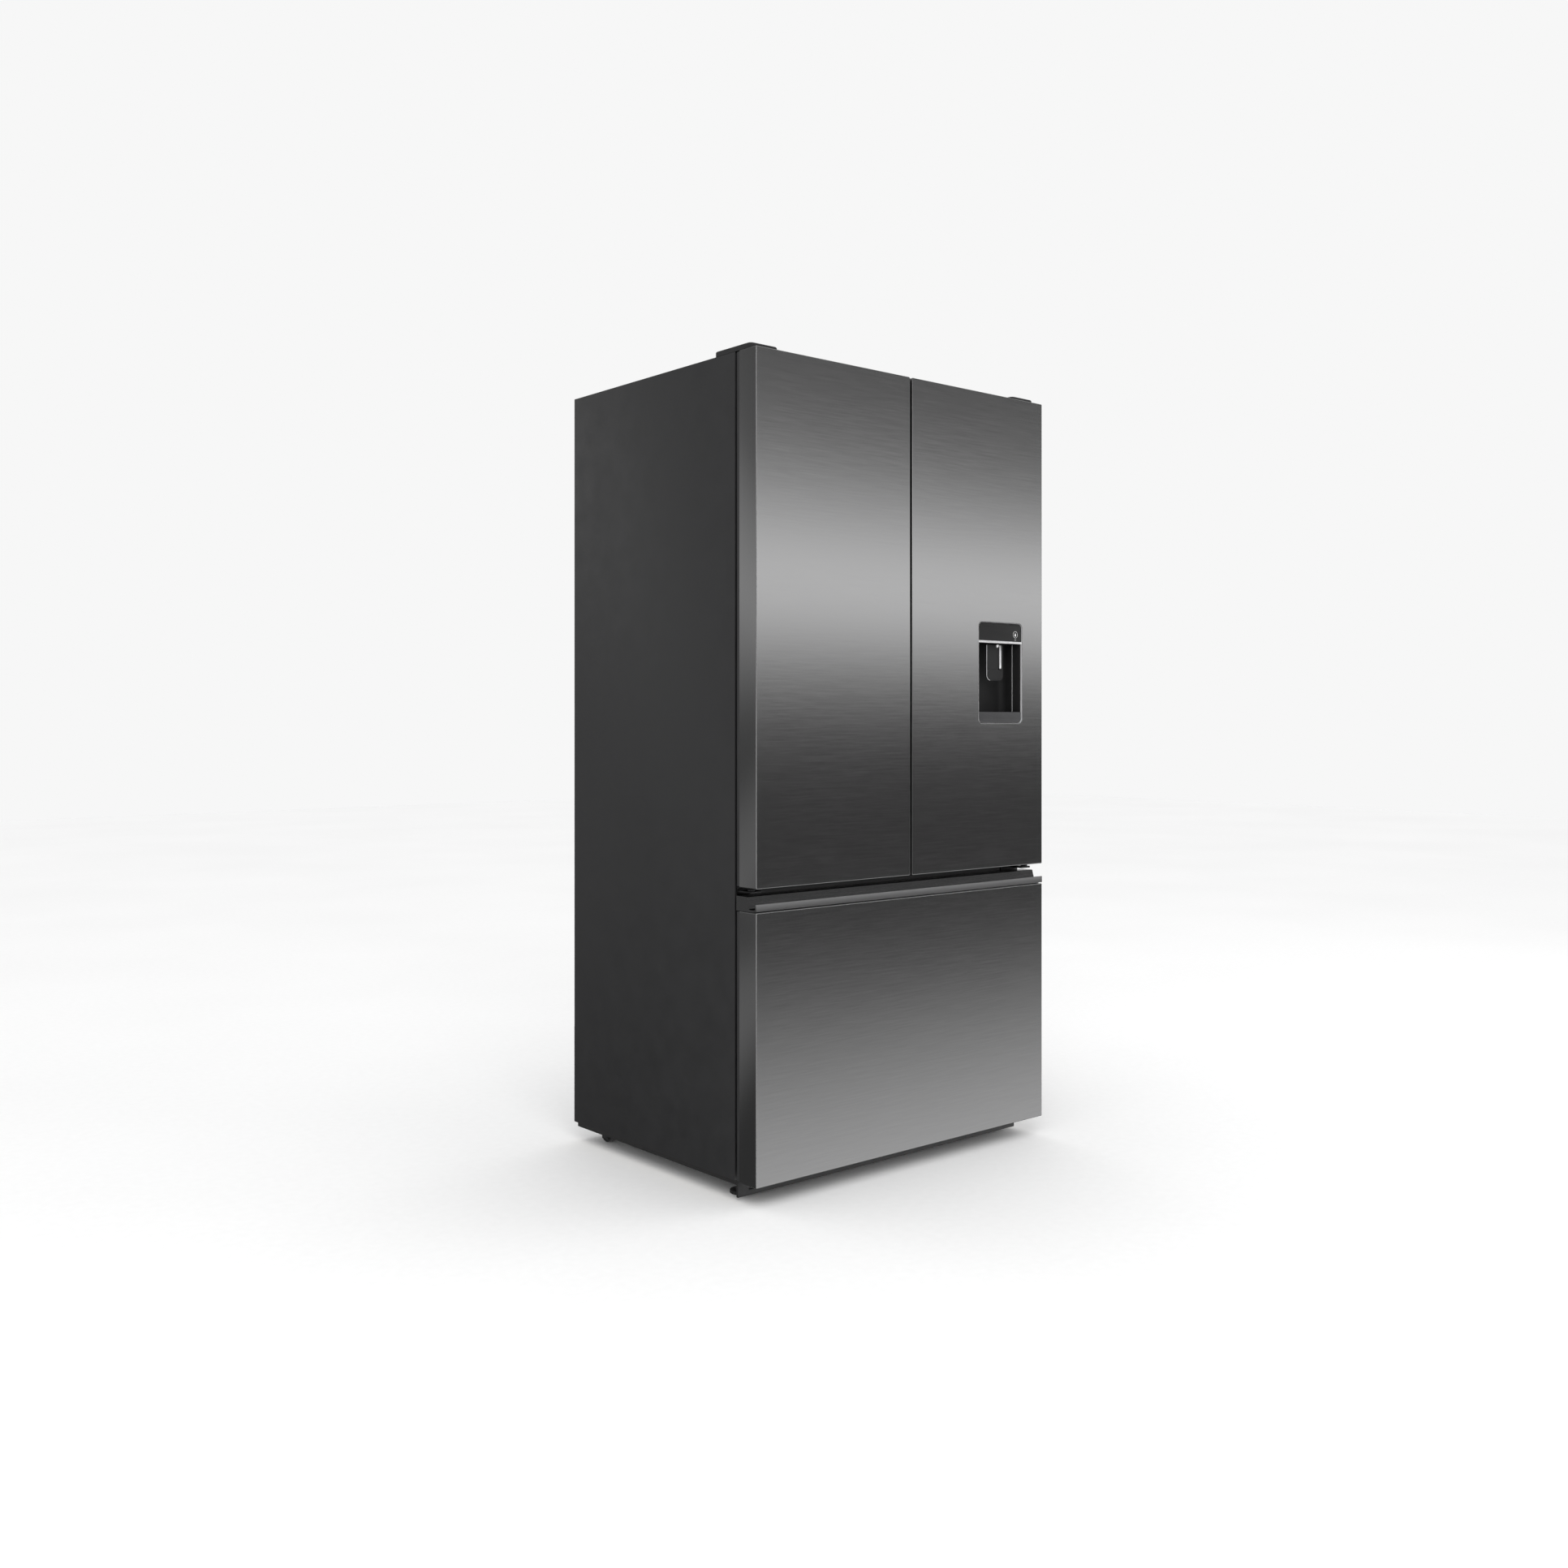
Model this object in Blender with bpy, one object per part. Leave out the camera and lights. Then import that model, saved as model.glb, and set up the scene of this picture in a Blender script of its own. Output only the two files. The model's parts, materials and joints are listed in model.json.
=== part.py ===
"""French door refrigerator: two hinged upper doors, a water dispenser and a pull-out freezer drawer.

Metres. X runs to the viewer's right, Y from the door faces to the back, Z up from the floor.
The origin is on the floor, under the middle of the closed refrigerator.
"""

import math

import bmesh
import bpy
from mathutils import Matrix, Vector

# ---------------------------------------------------------------- driving dimensions
WIDTH = 0.900  # across the closed doors
DEPTH = 0.695  # from the door faces to the back panel
HEIGHT = 1.790  # from the floor to the top of the hinge covers

# Gaps
GAP = 0.0003  # between two pieces that touch
SEAM = 0.005  # between the two upper doors
RUNNING = 0.0008  # between pieces that slide or turn in each other
LOOSE = 0.004  # round a drawer, a bin or a shelf that lifts out

# Doors and drawer panel
DOOR_THICKNESS = 0.065  # face to the flat rear plane
SKIN = 0.0012
SKIN_RETURN = 0.055  # how far the folded sides of a skin reach back
FACE_CHAMFER = 0.0012
CORNER_RADIUS = 0.004
CORNER_STEPS = 3
GASKET_INSET = 0.018
GASKET_WIDTH = 0.014
GASKET_DEPTH = 0.009
GASKET_AIR = 0.001  # a relaxed gasket stops this short of the cabinet
DRAWER_GASKET_TOP_INSET = 0.0045  # the drawer's own gasket reaches up behind the handle

# Levels of the fronts above the floor
DRAWER_BOTTOM = 0.045
DRAWER_PANEL_TOP = 0.611
GROOVE_HEIGHT = 0.0027  # dark line under the handle lip
GROOVE_DEPTH = 0.010
LIP_HEIGHT = 0.0148
LIP_THICKNESS = 0.003
SCOOP_FLOOR = 0.0023  # metal under the scoop
SCOOP_FRONT = 0.006  # where the scoop's flat floor starts, behind the face
SCOOP_REAR = 0.020  # where the flat floor ends
SCOOP_WALL_FOOT = 0.025  # the back wall of the scoop at its foot, behind the face
SCOOP_WALL_TOP = 0.031  # and at its top
SCOOP_RISE = 0.004  # height of the small chamfers in the scoop
HANDLE_TOP = 0.642
UPPER_DOOR_BOTTOM = 0.6595
HINGE_COVER_RISE = 0.013  # hinge cover above the upper doors
DOOR_TO_CABINET_TOP = 0.001

# Cabinet
SIDE_REVEAL = 0.004  # cabinet side inside the door side
SHELL_SHEET = 0.001
BACK_SHEET = 0.0017
LINER_WALL = 0.002
SIDE_WALL = 0.052
ROOF_WALL = 0.062
REAR_WALL = 0.060
FREEZER_FLOOR = 0.085
FREEZER_CEILING = 0.588
FRIDGE_FLOOR = 0.690
MACHINE_DEPTH = 0.205
MACHINE_TOP = 0.270
MACHINE_SIDE = 0.030  # insulation left beside the machine room
STEP_WALL = 0.045  # insulation between the machine room and the freezer

# Base
BASE_FRAME_HEIGHT = 0.0127
BASE_FRAME_INSET = 0.010
GRILLE_BOTTOM = 0.006
GRILLE_SHEET = 0.006
GRILLE_SETBACK = 0.002
GRILLE_SLOTS = 12
GRILLE_END = 0.030
GRILLE_EDGE = 0.012
GRILLE_BAR = 0.012
FOOT_RADIUS = 0.022
FOOT_HEIGHT = 0.008
FOOT_STEM_RADIUS = 0.006
FOOT_FROM_SIDE = 0.050
FOOT_FROM_FRONT = 0.045
ROLLER_RADIUS = 0.020
ROLLER_WIDTH = 0.022
ROLLER_AXLE_RADIUS = 0.004
ROLLER_FROM_SIDE = 0.060
ROLLER_FROM_BACK = 0.065
EAR_THICKNESS = 0.003
EAR_LENGTH = 0.024

# Hinges
PIN_FROM_SIDE = 0.020
PIN_FROM_FACE = 0.040
PIN_RADIUS = 0.005
PIN_DEPTH = 0.014
HINGE_PLATE = 0.004
TOP_PLATE_WIDTH = 0.070
TOP_PLATE_FROM_SIDE = 0.008
TOP_PLATE_ON_CABINET = 0.068
PLATE_BEFORE_PIN = 0.012
COVER_WALL = 0.002
COVER_MARGIN = 0.004
MIDDLE_PLATE_RISE = 0.006  # middle hinge plate above the drawer's top
MIDDLE_PLATE_WIDTH = 0.034
MIDDLE_FLANGE_WIDTH = 0.060
MIDDLE_FLANGE_DROP = 0.018
MIDDLE_FLANGE_SHEET = 0.003
COLLAR_RADIUS = 0.008
COLLAR_HEIGHT = 0.004

# Door liners and mullion
DYKE_HEIGHT = 0.035  # raised frame on a door's inner side
DYKE_WIDTH = 0.028
DYKE_SIDE_CLEARANCE = 0.019
DYKE_END_CLEARANCE = 0.006
DYKE_TO_SEAM = 0.072
MULLION_WIDTH = 0.0635
MULLION_THICKNESS = 0.020
MULLION_SETBACK = 0.0005
MULLION_END_CLEARANCE = 0.003
MULLION_STEPS = 8  # facets of its round edge

# Bins
BIN_DEPTH = 0.105
BIN_HEIGHT = 0.100
BIN_WALL = 0.0025
BIN_TAPER = 0.006
LEFT_BINS = 3

# Dispenser, in the right door
DISPENSER_FROM_SIDE = 0.0737
DISPENSER_WIDTH = 0.1536
DISPENSER_BOTTOM = 1.000
DISPENSER_HEIGHT = 0.239
DISPENSER_RADIUS = 0.012
BEZEL_WIDTH = 0.0018
BEZEL_DEPTH = 0.004
STRIP_BELOW_TOP = 0.049  # underside of the bright cross strip
STRIP_HEIGHT = 0.006
CONTROL_PANEL_SHEET = 0.003
CONTROL_PANEL_SETBACK = 0.0005
HOUSING_DEPTH = 0.060
HOUSING_WALL = 0.003
BOSS_DEPTH = 0.025  # extra insulation behind the dispenser
BOSS_MARGIN = 0.010
TRAY_HEIGHT = 0.024
TRAY_RECESS = 0.004
PADDLE_WIDTH = 0.059
PADDLE_LENGTH = 0.088
PADDLE_THICKNESS = 0.003
PADDLE_SETBACK = 0.0195
PADDLE_PIVOT_DROP = 0.006
PADDLE_CORNER = 0.012
NOZZLE_RADIUS = 0.004
NOZZLE_LENGTH = 0.012
NOZZLE_SETBACK = 0.0105

# Shelves and crispers
SHELF_THICKNESS = 0.008
SHELF_SETBACK = 0.1275  # from the cabinet front to the front of the shelves
SHELVES = 2
CRISPER_HEIGHT = 0.175
CRISPER_LIFT = 0.003
CRISPER_WALL = 0.003
CRISPER_TAPER = 0.012
CRISPER_SETBACK = 0.1225
CRISPER_REAR = 0.055
DUCT_COVER_HALF_WIDTH = 0.120
DUCT_COVER_THICKNESS = 0.022
DUCT_COVER_BEVEL = 0.006
FREEZER_COVER_SHEET = 0.003
FREEZER_COVER_SPACE = 0.050
FREEZER_COVER_SLOTS = 9
FREEZER_COVER_BESIDE = 0.060
FREEZER_COVER_OVER = 0.110
FREEZER_COVER_BAR = 0.040

# Freezer drawer
RAIL_LEVEL = 0.355
RAIL_HALF_HEIGHT = 0.020
RAIL_DEPTH = 0.012
RAIL_SHEET = 0.0015
RAIL_FROM_FRONT = 0.006
RAIL_TO_COVER = 0.038  # from the rails' rear ends to the duct cover
RAIL_LEDGE = 0.008  # part of the inner rail that carries the basket
BASKET_WALL = 0.003
BASKET_TAPER = 0.013
BASKET_LIFT = 0.012
BASKET_RIM = 0.004
FREEZER_TRAY_LENGTH = 0.280
FREEZER_TRAY_HEIGHT = 0.080
FREEZER_TRAY_SETBACK = 0.0725

# Machine room
COMPRESSOR_RADIUS = 0.075
COMPRESSOR_HEIGHT = 0.165
COMPRESSOR_FROM_CENTRE = 0.220
COMPRESSOR_FOOT = 0.090
COMPRESSOR_FOOT_SHEET = 0.004
COIL_PASSES = 6
COIL_PITCH = 0.026
COIL_TUBE_RADIUS = 0.004
COIL_HALF_DEPTH = 0.060
COIL_BOTTOM = 0.066
COIL_TOP = 0.236
COIL_START = 0.045
FAN_RADIUS = 0.070
FAN_HUB_RADIUS = 0.020
FAN_HUB_LENGTH = 0.016
FAN_BLADES = 5
FAN_SIDES_PER_BLADE = 3  # one side of the hub carries a blade, the next two are plain
FAN_TWIST = 40  # degrees, from root to tip
FAN_SPREAD = 2.2  # width of a blade's tip over its root
FAN_X = -0.060
FAN_LEVEL = 0.155
POST_WIDTH = 0.030
POST_SHEET = 0.004
INLET_HALF_WIDTH = 0.024
INLET_HALF_HEIGHT = 0.016
INLET_FROM_SIDE = 0.090
INLET_LEVEL = 0.110
INLET_LENGTH = 0.030
COVER_SLOTS = 10
COVER_MARGIN_OVER = 0.045
COVER_BAR = 0.020
EVAPORATOR_HALF_WIDTH = 0.300
EVAPORATOR_HEIGHT = 0.190
EVAPORATOR_DEPTH = 0.034
EVAPORATOR_FINS = 15

# ---------------------------------------------------------------- places that follow from them
HALF = WIDTH / 2
FACE = -DEPTH / 2
BACK = DEPTH / 2
DOOR_REAR = FACE + DOOR_THICKNESS
CABINET_FRONT = DOOR_REAR + GASKET_DEPTH + GASKET_AIR
DOOR_TOP = HEIGHT - HINGE_COVER_RISE
CABINET_TOP = DOOR_TOP + DOOR_TO_CABINET_TOP
CABINET_BOTTOM = DRAWER_BOTTOM
CABINET_HALF = HALF - SIDE_REVEAL
CABINET_REAR = BACK - BACK_SHEET - GAP
INNER_HALF = CABINET_HALF - SIDE_WALL
INNER_REAR = BACK - REAR_WALL
FRIDGE_CEILING = CABINET_TOP - ROOF_WALL
MACHINE_FRONT = BACK - MACHINE_DEPTH
STEP_FRONT = MACHINE_FRONT - STEP_WALL
STEP_TOP = MACHINE_TOP + STEP_WALL
BASE_TOP = CABINET_BOTTOM - GAP
HANDLE_BOTTOM = DRAWER_PANEL_TOP + GROOVE_HEIGHT
PIN_X = HALF - PIN_FROM_SIDE
PIN_Y = FACE + PIN_FROM_FACE
CRISPER_BOTTOM = FRIDGE_FLOOR + CRISPER_LIFT
CRISPER_TOP = CRISPER_BOTTOM + CRISPER_HEIGHT
CRISPER_COVER_BOTTOM = CRISPER_TOP + LOOSE
CRISPER_COVER_TOP = CRISPER_COVER_BOTTOM + SHELF_THICKNESS
BIN_ZONE_BOTTOM = CRISPER_COVER_TOP + 4 * LOOSE
DYKE_BOTTOM = FRIDGE_FLOOR + DYKE_END_CLEARANCE
DYKE_TOP = FRIDGE_CEILING - DYKE_END_CLEARANCE
DYKE_OUTSIDE = INNER_HALF - DYKE_SIDE_CLEARANCE
DYKE_REAR = DOOR_REAR + DYKE_HEIGHT
MULLION_FRONT = CABINET_FRONT + MULLION_SETBACK
MULLION_Y = MULLION_FRONT + MULLION_THICKNESS / 2
MULLION_X = -SEAM / 2 - MULLION_WIDTH + MULLION_THICKNESS / 2
DISPENSER_LEFT = HALF - DISPENSER_FROM_SIDE - DISPENSER_WIDTH
DISPENSER_RIGHT = HALF - DISPENSER_FROM_SIDE
DISPENSER_TOP = DISPENSER_BOTTOM + DISPENSER_HEIGHT
DISPENSER_X = (DISPENSER_LEFT + DISPENSER_RIGHT) / 2
STRIP_BOTTOM = DISPENSER_TOP - STRIP_BELOW_TOP
STRIP_TOP = STRIP_BOTTOM + STRIP_HEIGHT
HOUSING_FRONT = FACE + BEZEL_DEPTH + GAP
HOUSING_REAR = HOUSING_FRONT + HOUSING_DEPTH
PADDLE_Y = FACE + PADDLE_SETBACK
PADDLE_PIVOT = STRIP_BOTTOM - PADDLE_PIVOT_DROP
RAIL_OUTSIDE = INNER_HALF - GAP
RAIL_INSIDE = RAIL_OUTSIDE - RAIL_DEPTH
RAIL_FRONT = CABINET_FRONT + RAIL_FROM_FRONT
INNER_RAIL_INSIDE = RAIL_INSIDE - RAIL_LEDGE
INNER_RAIL_HALF_HEIGHT = RAIL_HALF_HEIGHT - 2 * (RAIL_SHEET + RUNNING)
BASKET_RIM_BOTTOM = RAIL_LEVEL + INNER_RAIL_HALF_HEIGHT + GAP
BASKET_HALF = INNER_RAIL_INSIDE - 2 * RUNNING
BASKET_TOP = BASKET_RIM_BOTTOM + BASKET_RIM
FREEZER_COVER_FRONT = INNER_REAR - FREEZER_COVER_SPACE
RAIL_REAR = FREEZER_COVER_FRONT - RAIL_TO_COVER
ROUND_SIDES = 20
SMALL_SIDES = 12
SHARP_ANGLE = 35  # degrees between faces, above which a round piece keeps an edge

# ---------------------------------------------------------------- finishes


def finish(name, colour, roughness, metallic=0.0, alpha=1.0):
    """One Principled material."""
    made = bpy.data.materials.new(name)
    made.use_nodes = True
    shader = made.node_tree.nodes["Principled BSDF"]
    shader.inputs["Base Color"].default_value = (*colour, 1.0)
    shader.inputs["Roughness"].default_value = roughness
    shader.inputs["Metallic"].default_value = metallic
    shader.inputs["Alpha"].default_value = alpha
    made.diffuse_color = (*colour, alpha)
    return made


def colour_for(name):
    """Each sub-part's own copy of its finish: (colour, roughness, metallic, alpha)."""
    for words, values in FINISHES.items():
        if any(word in name for word in words):
            return finish(name + "_finish", *values)
    return finish(name + "_finish", *OTHER_FINISH)


BLACK_PLASTIC = ("hinge_cover", "grille", "housing", "foot", "roller", "inlet")
FINISHES = {
    ("skin", "handle"): ((0.13, 0.13, 0.135), 0.32, 1.0, 1.0),
    ("bezel",): ((0.72, 0.72, 0.74), 0.15, 1.0, 1.0),
    BLACK_PLASTIC: ((0.012, 0.012, 0.013), 0.55, 0.0, 1.0),
    ("control_panel", "paddle", "drip"): ((0.028, 0.028, 0.030), 0.35, 0.0, 1.0),
    ("gasket",): ((0.18, 0.18, 0.19), 0.7, 0.0, 1.0),
    ("cabinet_shell", "base_frame", "back_panel", "machine_cover"): ((0.05, 0.05, 0.052), 0.5, 0.3, 1.0),
    ("insulation",): ((0.75, 0.66, 0.42), 0.9, 0.0, 1.0),
    ("rail", "hinge", "nozzle"): ((0.55, 0.55, 0.56), 0.35, 1.0, 1.0),
    ("shelf", "crisper", "bin", "freezer_tray", "basket"): ((0.80, 0.84, 0.86), 0.12, 0.0, 0.5),
    ("compressor", "fan"): ((0.02, 0.02, 0.02), 0.4, 0.0, 1.0),
    ("coil",): ((0.55, 0.30, 0.18), 0.35, 1.0, 1.0),
}
OTHER_FINISH = ((0.85, 0.86, 0.87), 0.4, 0.0, 1.0)

# ---------------------------------------------------------------- making solids


def clear_scene():
    for old in list(bpy.data.objects):
        bpy.data.objects.remove(old, do_unlink=True)


def new_object(name, mesh, origin=None):
    """Puts the mesh's origin at the middle of its box, or at the point given, and links the object there."""
    low = Vector(min(v.co[i] for v in mesh.vertices) for i in range(3))
    high = Vector(max(v.co[i] for v in mesh.vertices) for i in range(3))
    origin = Vector(origin) if origin else (low + high) / 2
    mesh.transform(Matrix.Translation(-origin))
    made = bpy.data.objects.new(name, mesh)
    made.location = origin
    bpy.context.collection.objects.link(made)
    bpy.context.view_layer.update()
    return made


def solid(name, bm, smooth=False):
    """The finished bmesh as an object of its own, with its faces pointing out."""
    bmesh.ops.recalc_face_normals(bm, faces=bm.faces)
    mesh = bpy.data.meshes.new(name)
    bm.to_mesh(mesh)
    bm.free()
    if smooth:
        mesh.shade_smooth()
        mesh.set_sharp_from_angle(angle=math.radians(SHARP_ANGLE))
    mesh.materials.append(colour_for(name))
    return new_object(name, mesh)


def lofted(name, rings, closed=False, smooth=False):
    """Bridges rings of equal length; the ends are capped, or joined to each other if closed is set."""
    bm = bmesh.new()
    loops = [[bm.verts.new(point) for point in ring] for ring in rings]
    pairs = list(zip(loops, loops[1:] + loops[:1] if closed else loops[1:]))
    for near, far in pairs:
        for i in range(len(near)):
            j = (i + 1) % len(near)
            bm.faces.new((near[i], near[j], far[j], far[i]))
    if not closed:
        bm.faces.new(loops[0])
        bm.faces.new(loops[-1])
    return solid(name, bm, smooth)


def upright(points, y):
    """A flat outline in X and Z, standing at depth y."""
    return [(x, y, z) for x, z in points]


def level(points, z):
    """A flat outline in X and Y, lying at height z."""
    return [(x, y, z) for x, y in points]


def sideways(points, x):
    """A flat outline in Y and Z, at x."""
    return [(x, y, z) for y, z in points]


def rectangle(low, high, inset=0.0):
    u0, v0 = low[0] + inset, low[1] + inset
    u1, v1 = high[0] - inset, high[1] - inset
    return [(u0, v0), (u1, v0), (u1, v1), (u0, v1)]


def rounded(low, high, radius, inset=0.0, steps=CORNER_STEPS):
    """A rectangle with round corners, gone round once. An inset outline has smaller corners."""
    (u0, v0), _, (u1, v1), _ = rectangle(low, high, inset)
    r = max(radius - inset, CORNER_RADIUS / 4)
    centres = ((u0 + r, v0 + r, 180), (u1 - r, v0 + r, 270), (u1 - r, v1 - r, 0), (u0 + r, v1 - r, 90))
    points = []
    for u, v, start in centres:
        for step in range(steps + 1):
            angle = math.radians(start + 90 * step / steps)
            points.append((u + r * math.cos(angle), v + r * math.sin(angle)))
    return points


def circle(radius, sides, centre=(0.0, 0.0)):
    turns = [2 * math.pi * i / sides for i in range(sides)]
    return [(centre[0] + radius * math.cos(a), centre[1] + radius * math.sin(a)) for a in turns]


def box(name, low, high, bevel=0.0):
    """A block between two corners, with its edges broken by bevel."""
    ring = rectangle(low[:2], high[:2])
    made = lofted(name, [level(ring, low[2]), level(ring, high[2])])
    if bevel:
        edge = made.modifiers.new("edges", "BEVEL")
        edge.width = bevel
        edge.segments = 2
    return made


def prism_x(name, outline, x0, x1):
    return lofted(name, [sideways(outline, x0), sideways(outline, x1)])


def prism_y(name, outline, y0, y1):
    return lofted(name, [upright(outline, y0), upright(outline, y1)])


def prism_z(name, outline, z0, z1):
    return lofted(name, [level(outline, z0), level(outline, z1)])


def pillar(name, centre, radius, z0, z1, sides=SMALL_SIDES):
    return prism_z(name, circle(radius, sides, centre), z0, z1)


def turned_z(name, profile, centre, sides=ROUND_SIDES):
    """A round solid about a vertical axis, from (radius, height) pairs."""
    return lofted(name, [level(circle(r, sides, centre), z) for r, z in profile], smooth=True)


def turned_x(name, profile, centre, sides=ROUND_SIDES):
    """A round solid about an axis along X, from (radius, x) pairs."""
    return lofted(name, [sideways(circle(r, sides, centre), x) for r, x in profile], smooth=True)


def combine(made, tool, operation):
    """Cuts the tool out of made, or joins it on, and keeps the tool as a hidden helper."""
    step = made.modifiers.new(tool.name, "BOOLEAN")
    step.operation = operation
    step.solver = "EXACT"
    step.object = tool
    tool.hide_render = True
    tool.display_type = "WIRE"
    tool.parent = made
    tool.matrix_parent_inverse = made.matrix_world.inverted()
    return made


def cut(made, *tools):
    for tool in tools:
        combine(made, tool, "DIFFERENCE")
    return made


def join(made, *tools):
    for tool in tools:
        combine(made, tool, "UNION")
    return made


def pivot(name, place, parent=None):
    """An empty on a joint's axis, which carries the pieces that move with it."""
    made = bpy.data.objects.new(name, None)
    made.location = place
    bpy.context.collection.objects.link(made)
    bpy.context.view_layer.update()
    if parent:
        carry(parent, made)
    return made


def carry(parent, *pieces):
    """Parents the pieces to an empty where they are."""
    for piece in pieces:
        piece.parent = parent
        piece.matrix_parent_inverse = parent.matrix_world.inverted()
    bpy.context.view_layer.update()


def tray_back(name, low, high, front, rear, wall, radius):
    """A shallow tray with its face forward: a folded door skin, open at the rear."""
    full = rounded(low, high, radius)
    return lofted(
        name,
        [
            upright(rounded(low, high, radius, FACE_CHAMFER), front),
            upright(full, front + FACE_CHAMFER),
            upright(full, rear),
            upright(rounded(low, high, radius, wall), rear),
            upright(rounded(low, high, radius, wall), front + wall),
        ],
    )


def frame_ring(name, low, high, width, y0, y1):
    """A flat rectangular frame, such as a gasket."""
    outer, inner = rectangle(low, high), rectangle(low, high, width)
    rings = [upright(outer, y0), upright(outer, y1), upright(inner, y1), upright(inner, y0)]
    return lofted(name, rings, closed=True)


def tub(name, low, high, wall, taper):
    """An open container whose sides lean in by taper towards its floor."""
    plan_low, plan_high = low[:2], high[:2]
    return lofted(
        name,
        [
            level(rectangle(plan_low, plan_high, taper), low[2]),
            level(rectangle(plan_low, plan_high), high[2]),
            level(rectangle(plan_low, plan_high, wall), high[2]),
            level(rectangle(plan_low, plan_high, wall + taper), low[2] + wall),
        ],
    )


def slotted_sheet(name, low, high, y, sheet, slots, margins, bar):
    """A sheet with upright slots: a grid of faces with every other one left out, then given its thickness.

    The margins are those beside the first and last slot, and those under and over the slots.
    """
    (x0, z0), (x1, z1) = low, high
    beside, over = margins
    pitch = (x1 - x0 - 2 * beside + bar) / slots
    columns = [x0]
    for i in range(slots):
        columns += [x0 + beside + i * pitch, x0 + beside + (i + 1) * pitch - bar]
    columns.append(x1)
    rows = [z0, z0 + over, z1 - over, z1]
    bm = bmesh.new()
    grid = [[bm.verts.new((x, y, z)) for z in rows] for x in columns]
    for i in range(len(columns) - 1):
        for j in range(len(rows) - 1):
            if not (i % 2 and j == 1):
                bm.faces.new((grid[i][j], grid[i + 1][j], grid[i + 1][j + 1], grid[i][j + 1]))
    whole = bmesh.ops.extrude_face_region(bm, geom=bm.faces[:])
    moved = [v for v in whole["geom"] if isinstance(v, bmesh.types.BMVert)]
    bmesh.ops.translate(bm, verts=moved, vec=(0, sheet, 0))
    return solid(name, bm)


# ---------------------------------------------------------------- cabinet


def compartment_cuts(name, margin):
    """Helpers in the shape of the two compartments, grown by margin: (fridge, freezer)."""
    half = INNER_HALF + margin
    before = CABINET_FRONT - LOOSE
    fridge = box(
        name + "_fridge_hollow",
        (-half, before, FRIDGE_FLOOR - margin),
        (half, INNER_REAR + margin, FRIDGE_CEILING + margin),
    )
    freezer = prism_x(name + "_freezer_hollow", freezer_section(margin, before), -half, half)
    return fridge, freezer


def freezer_section(margin, front):
    """The freezer compartment from the side: full depth above the machine room, shallower in front of it."""
    floor, ceiling = FREEZER_FLOOR - margin, FREEZER_CEILING + margin
    step_y, step_z = STEP_FRONT + margin, STEP_TOP - margin
    rear = INNER_REAR + margin
    under = [(front, floor), (step_y, floor), (step_y, step_z), (rear, step_z)]
    return under + [(rear, ceiling), (front, ceiling)]


def make_cabinet_shell():
    """Folded steel: both sides, the top and the front flanges round the two openings."""
    shell = box(
        "cabinet_shell",
        (-CABINET_HALF, CABINET_FRONT, CABINET_BOTTOM),
        (CABINET_HALF, CABINET_REAR, CABINET_TOP),
    )
    hollow = box(
        "shell_hollow",
        (-CABINET_HALF + SHELL_SHEET, CABINET_FRONT + SHELL_SHEET, CABINET_BOTTOM - LOOSE),
        (CABINET_HALF - SHELL_SHEET, BACK + LOOSE, CABINET_TOP - SHELL_SHEET),
    )
    return cut(shell, hollow, *compartment_cuts("shell", LINER_WALL + GAP))


def make_insulation():
    """The foamed body between the shell and the liners, notched for the machine room."""
    side = CABINET_HALF - SHELL_SHEET - GAP
    foam = box(
        "insulation_body",
        (-side, CABINET_FRONT + SHELL_SHEET + GAP, CABINET_BOTTOM),
        (side, CABINET_REAR, CABINET_TOP - SHELL_SHEET - GAP),
    )
    notch = box(
        "machine_notch",
        (-side + MACHINE_SIDE, MACHINE_FRONT, CABINET_BOTTOM - LOOSE),
        (side - MACHINE_SIDE, BACK + LOOSE, MACHINE_TOP),
    )
    return cut(foam, notch, *compartment_cuts("foam", LINER_WALL + GAP))


def make_liners():
    """Thin plastic boxes, open at the front."""
    outer, inner = LINER_WALL, 0.0
    low, high = (-INNER_HALF, FRIDGE_FLOOR), (INNER_HALF, FRIDGE_CEILING)
    lofted(
        "fridge_liner",
        [
            upright(rectangle(low, high, -outer), INNER_REAR + outer),
            upright(rectangle(low, high, -outer), CABINET_FRONT),
            upright(rectangle(low, high), CABINET_FRONT),
            upright(rectangle(low, high), INNER_REAR),
        ],
    )
    freezer = prism_x(
        "freezer_liner",
        freezer_section(outer, CABINET_FRONT),
        -INNER_HALF - outer,
        INNER_HALF + outer,
    )
    hollow = prism_x(
        "freezer_liner_hollow",
        freezer_section(inner, CABINET_FRONT - LOOSE),
        -INNER_HALF,
        INNER_HALF,
    )
    cut(freezer, hollow)


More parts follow.
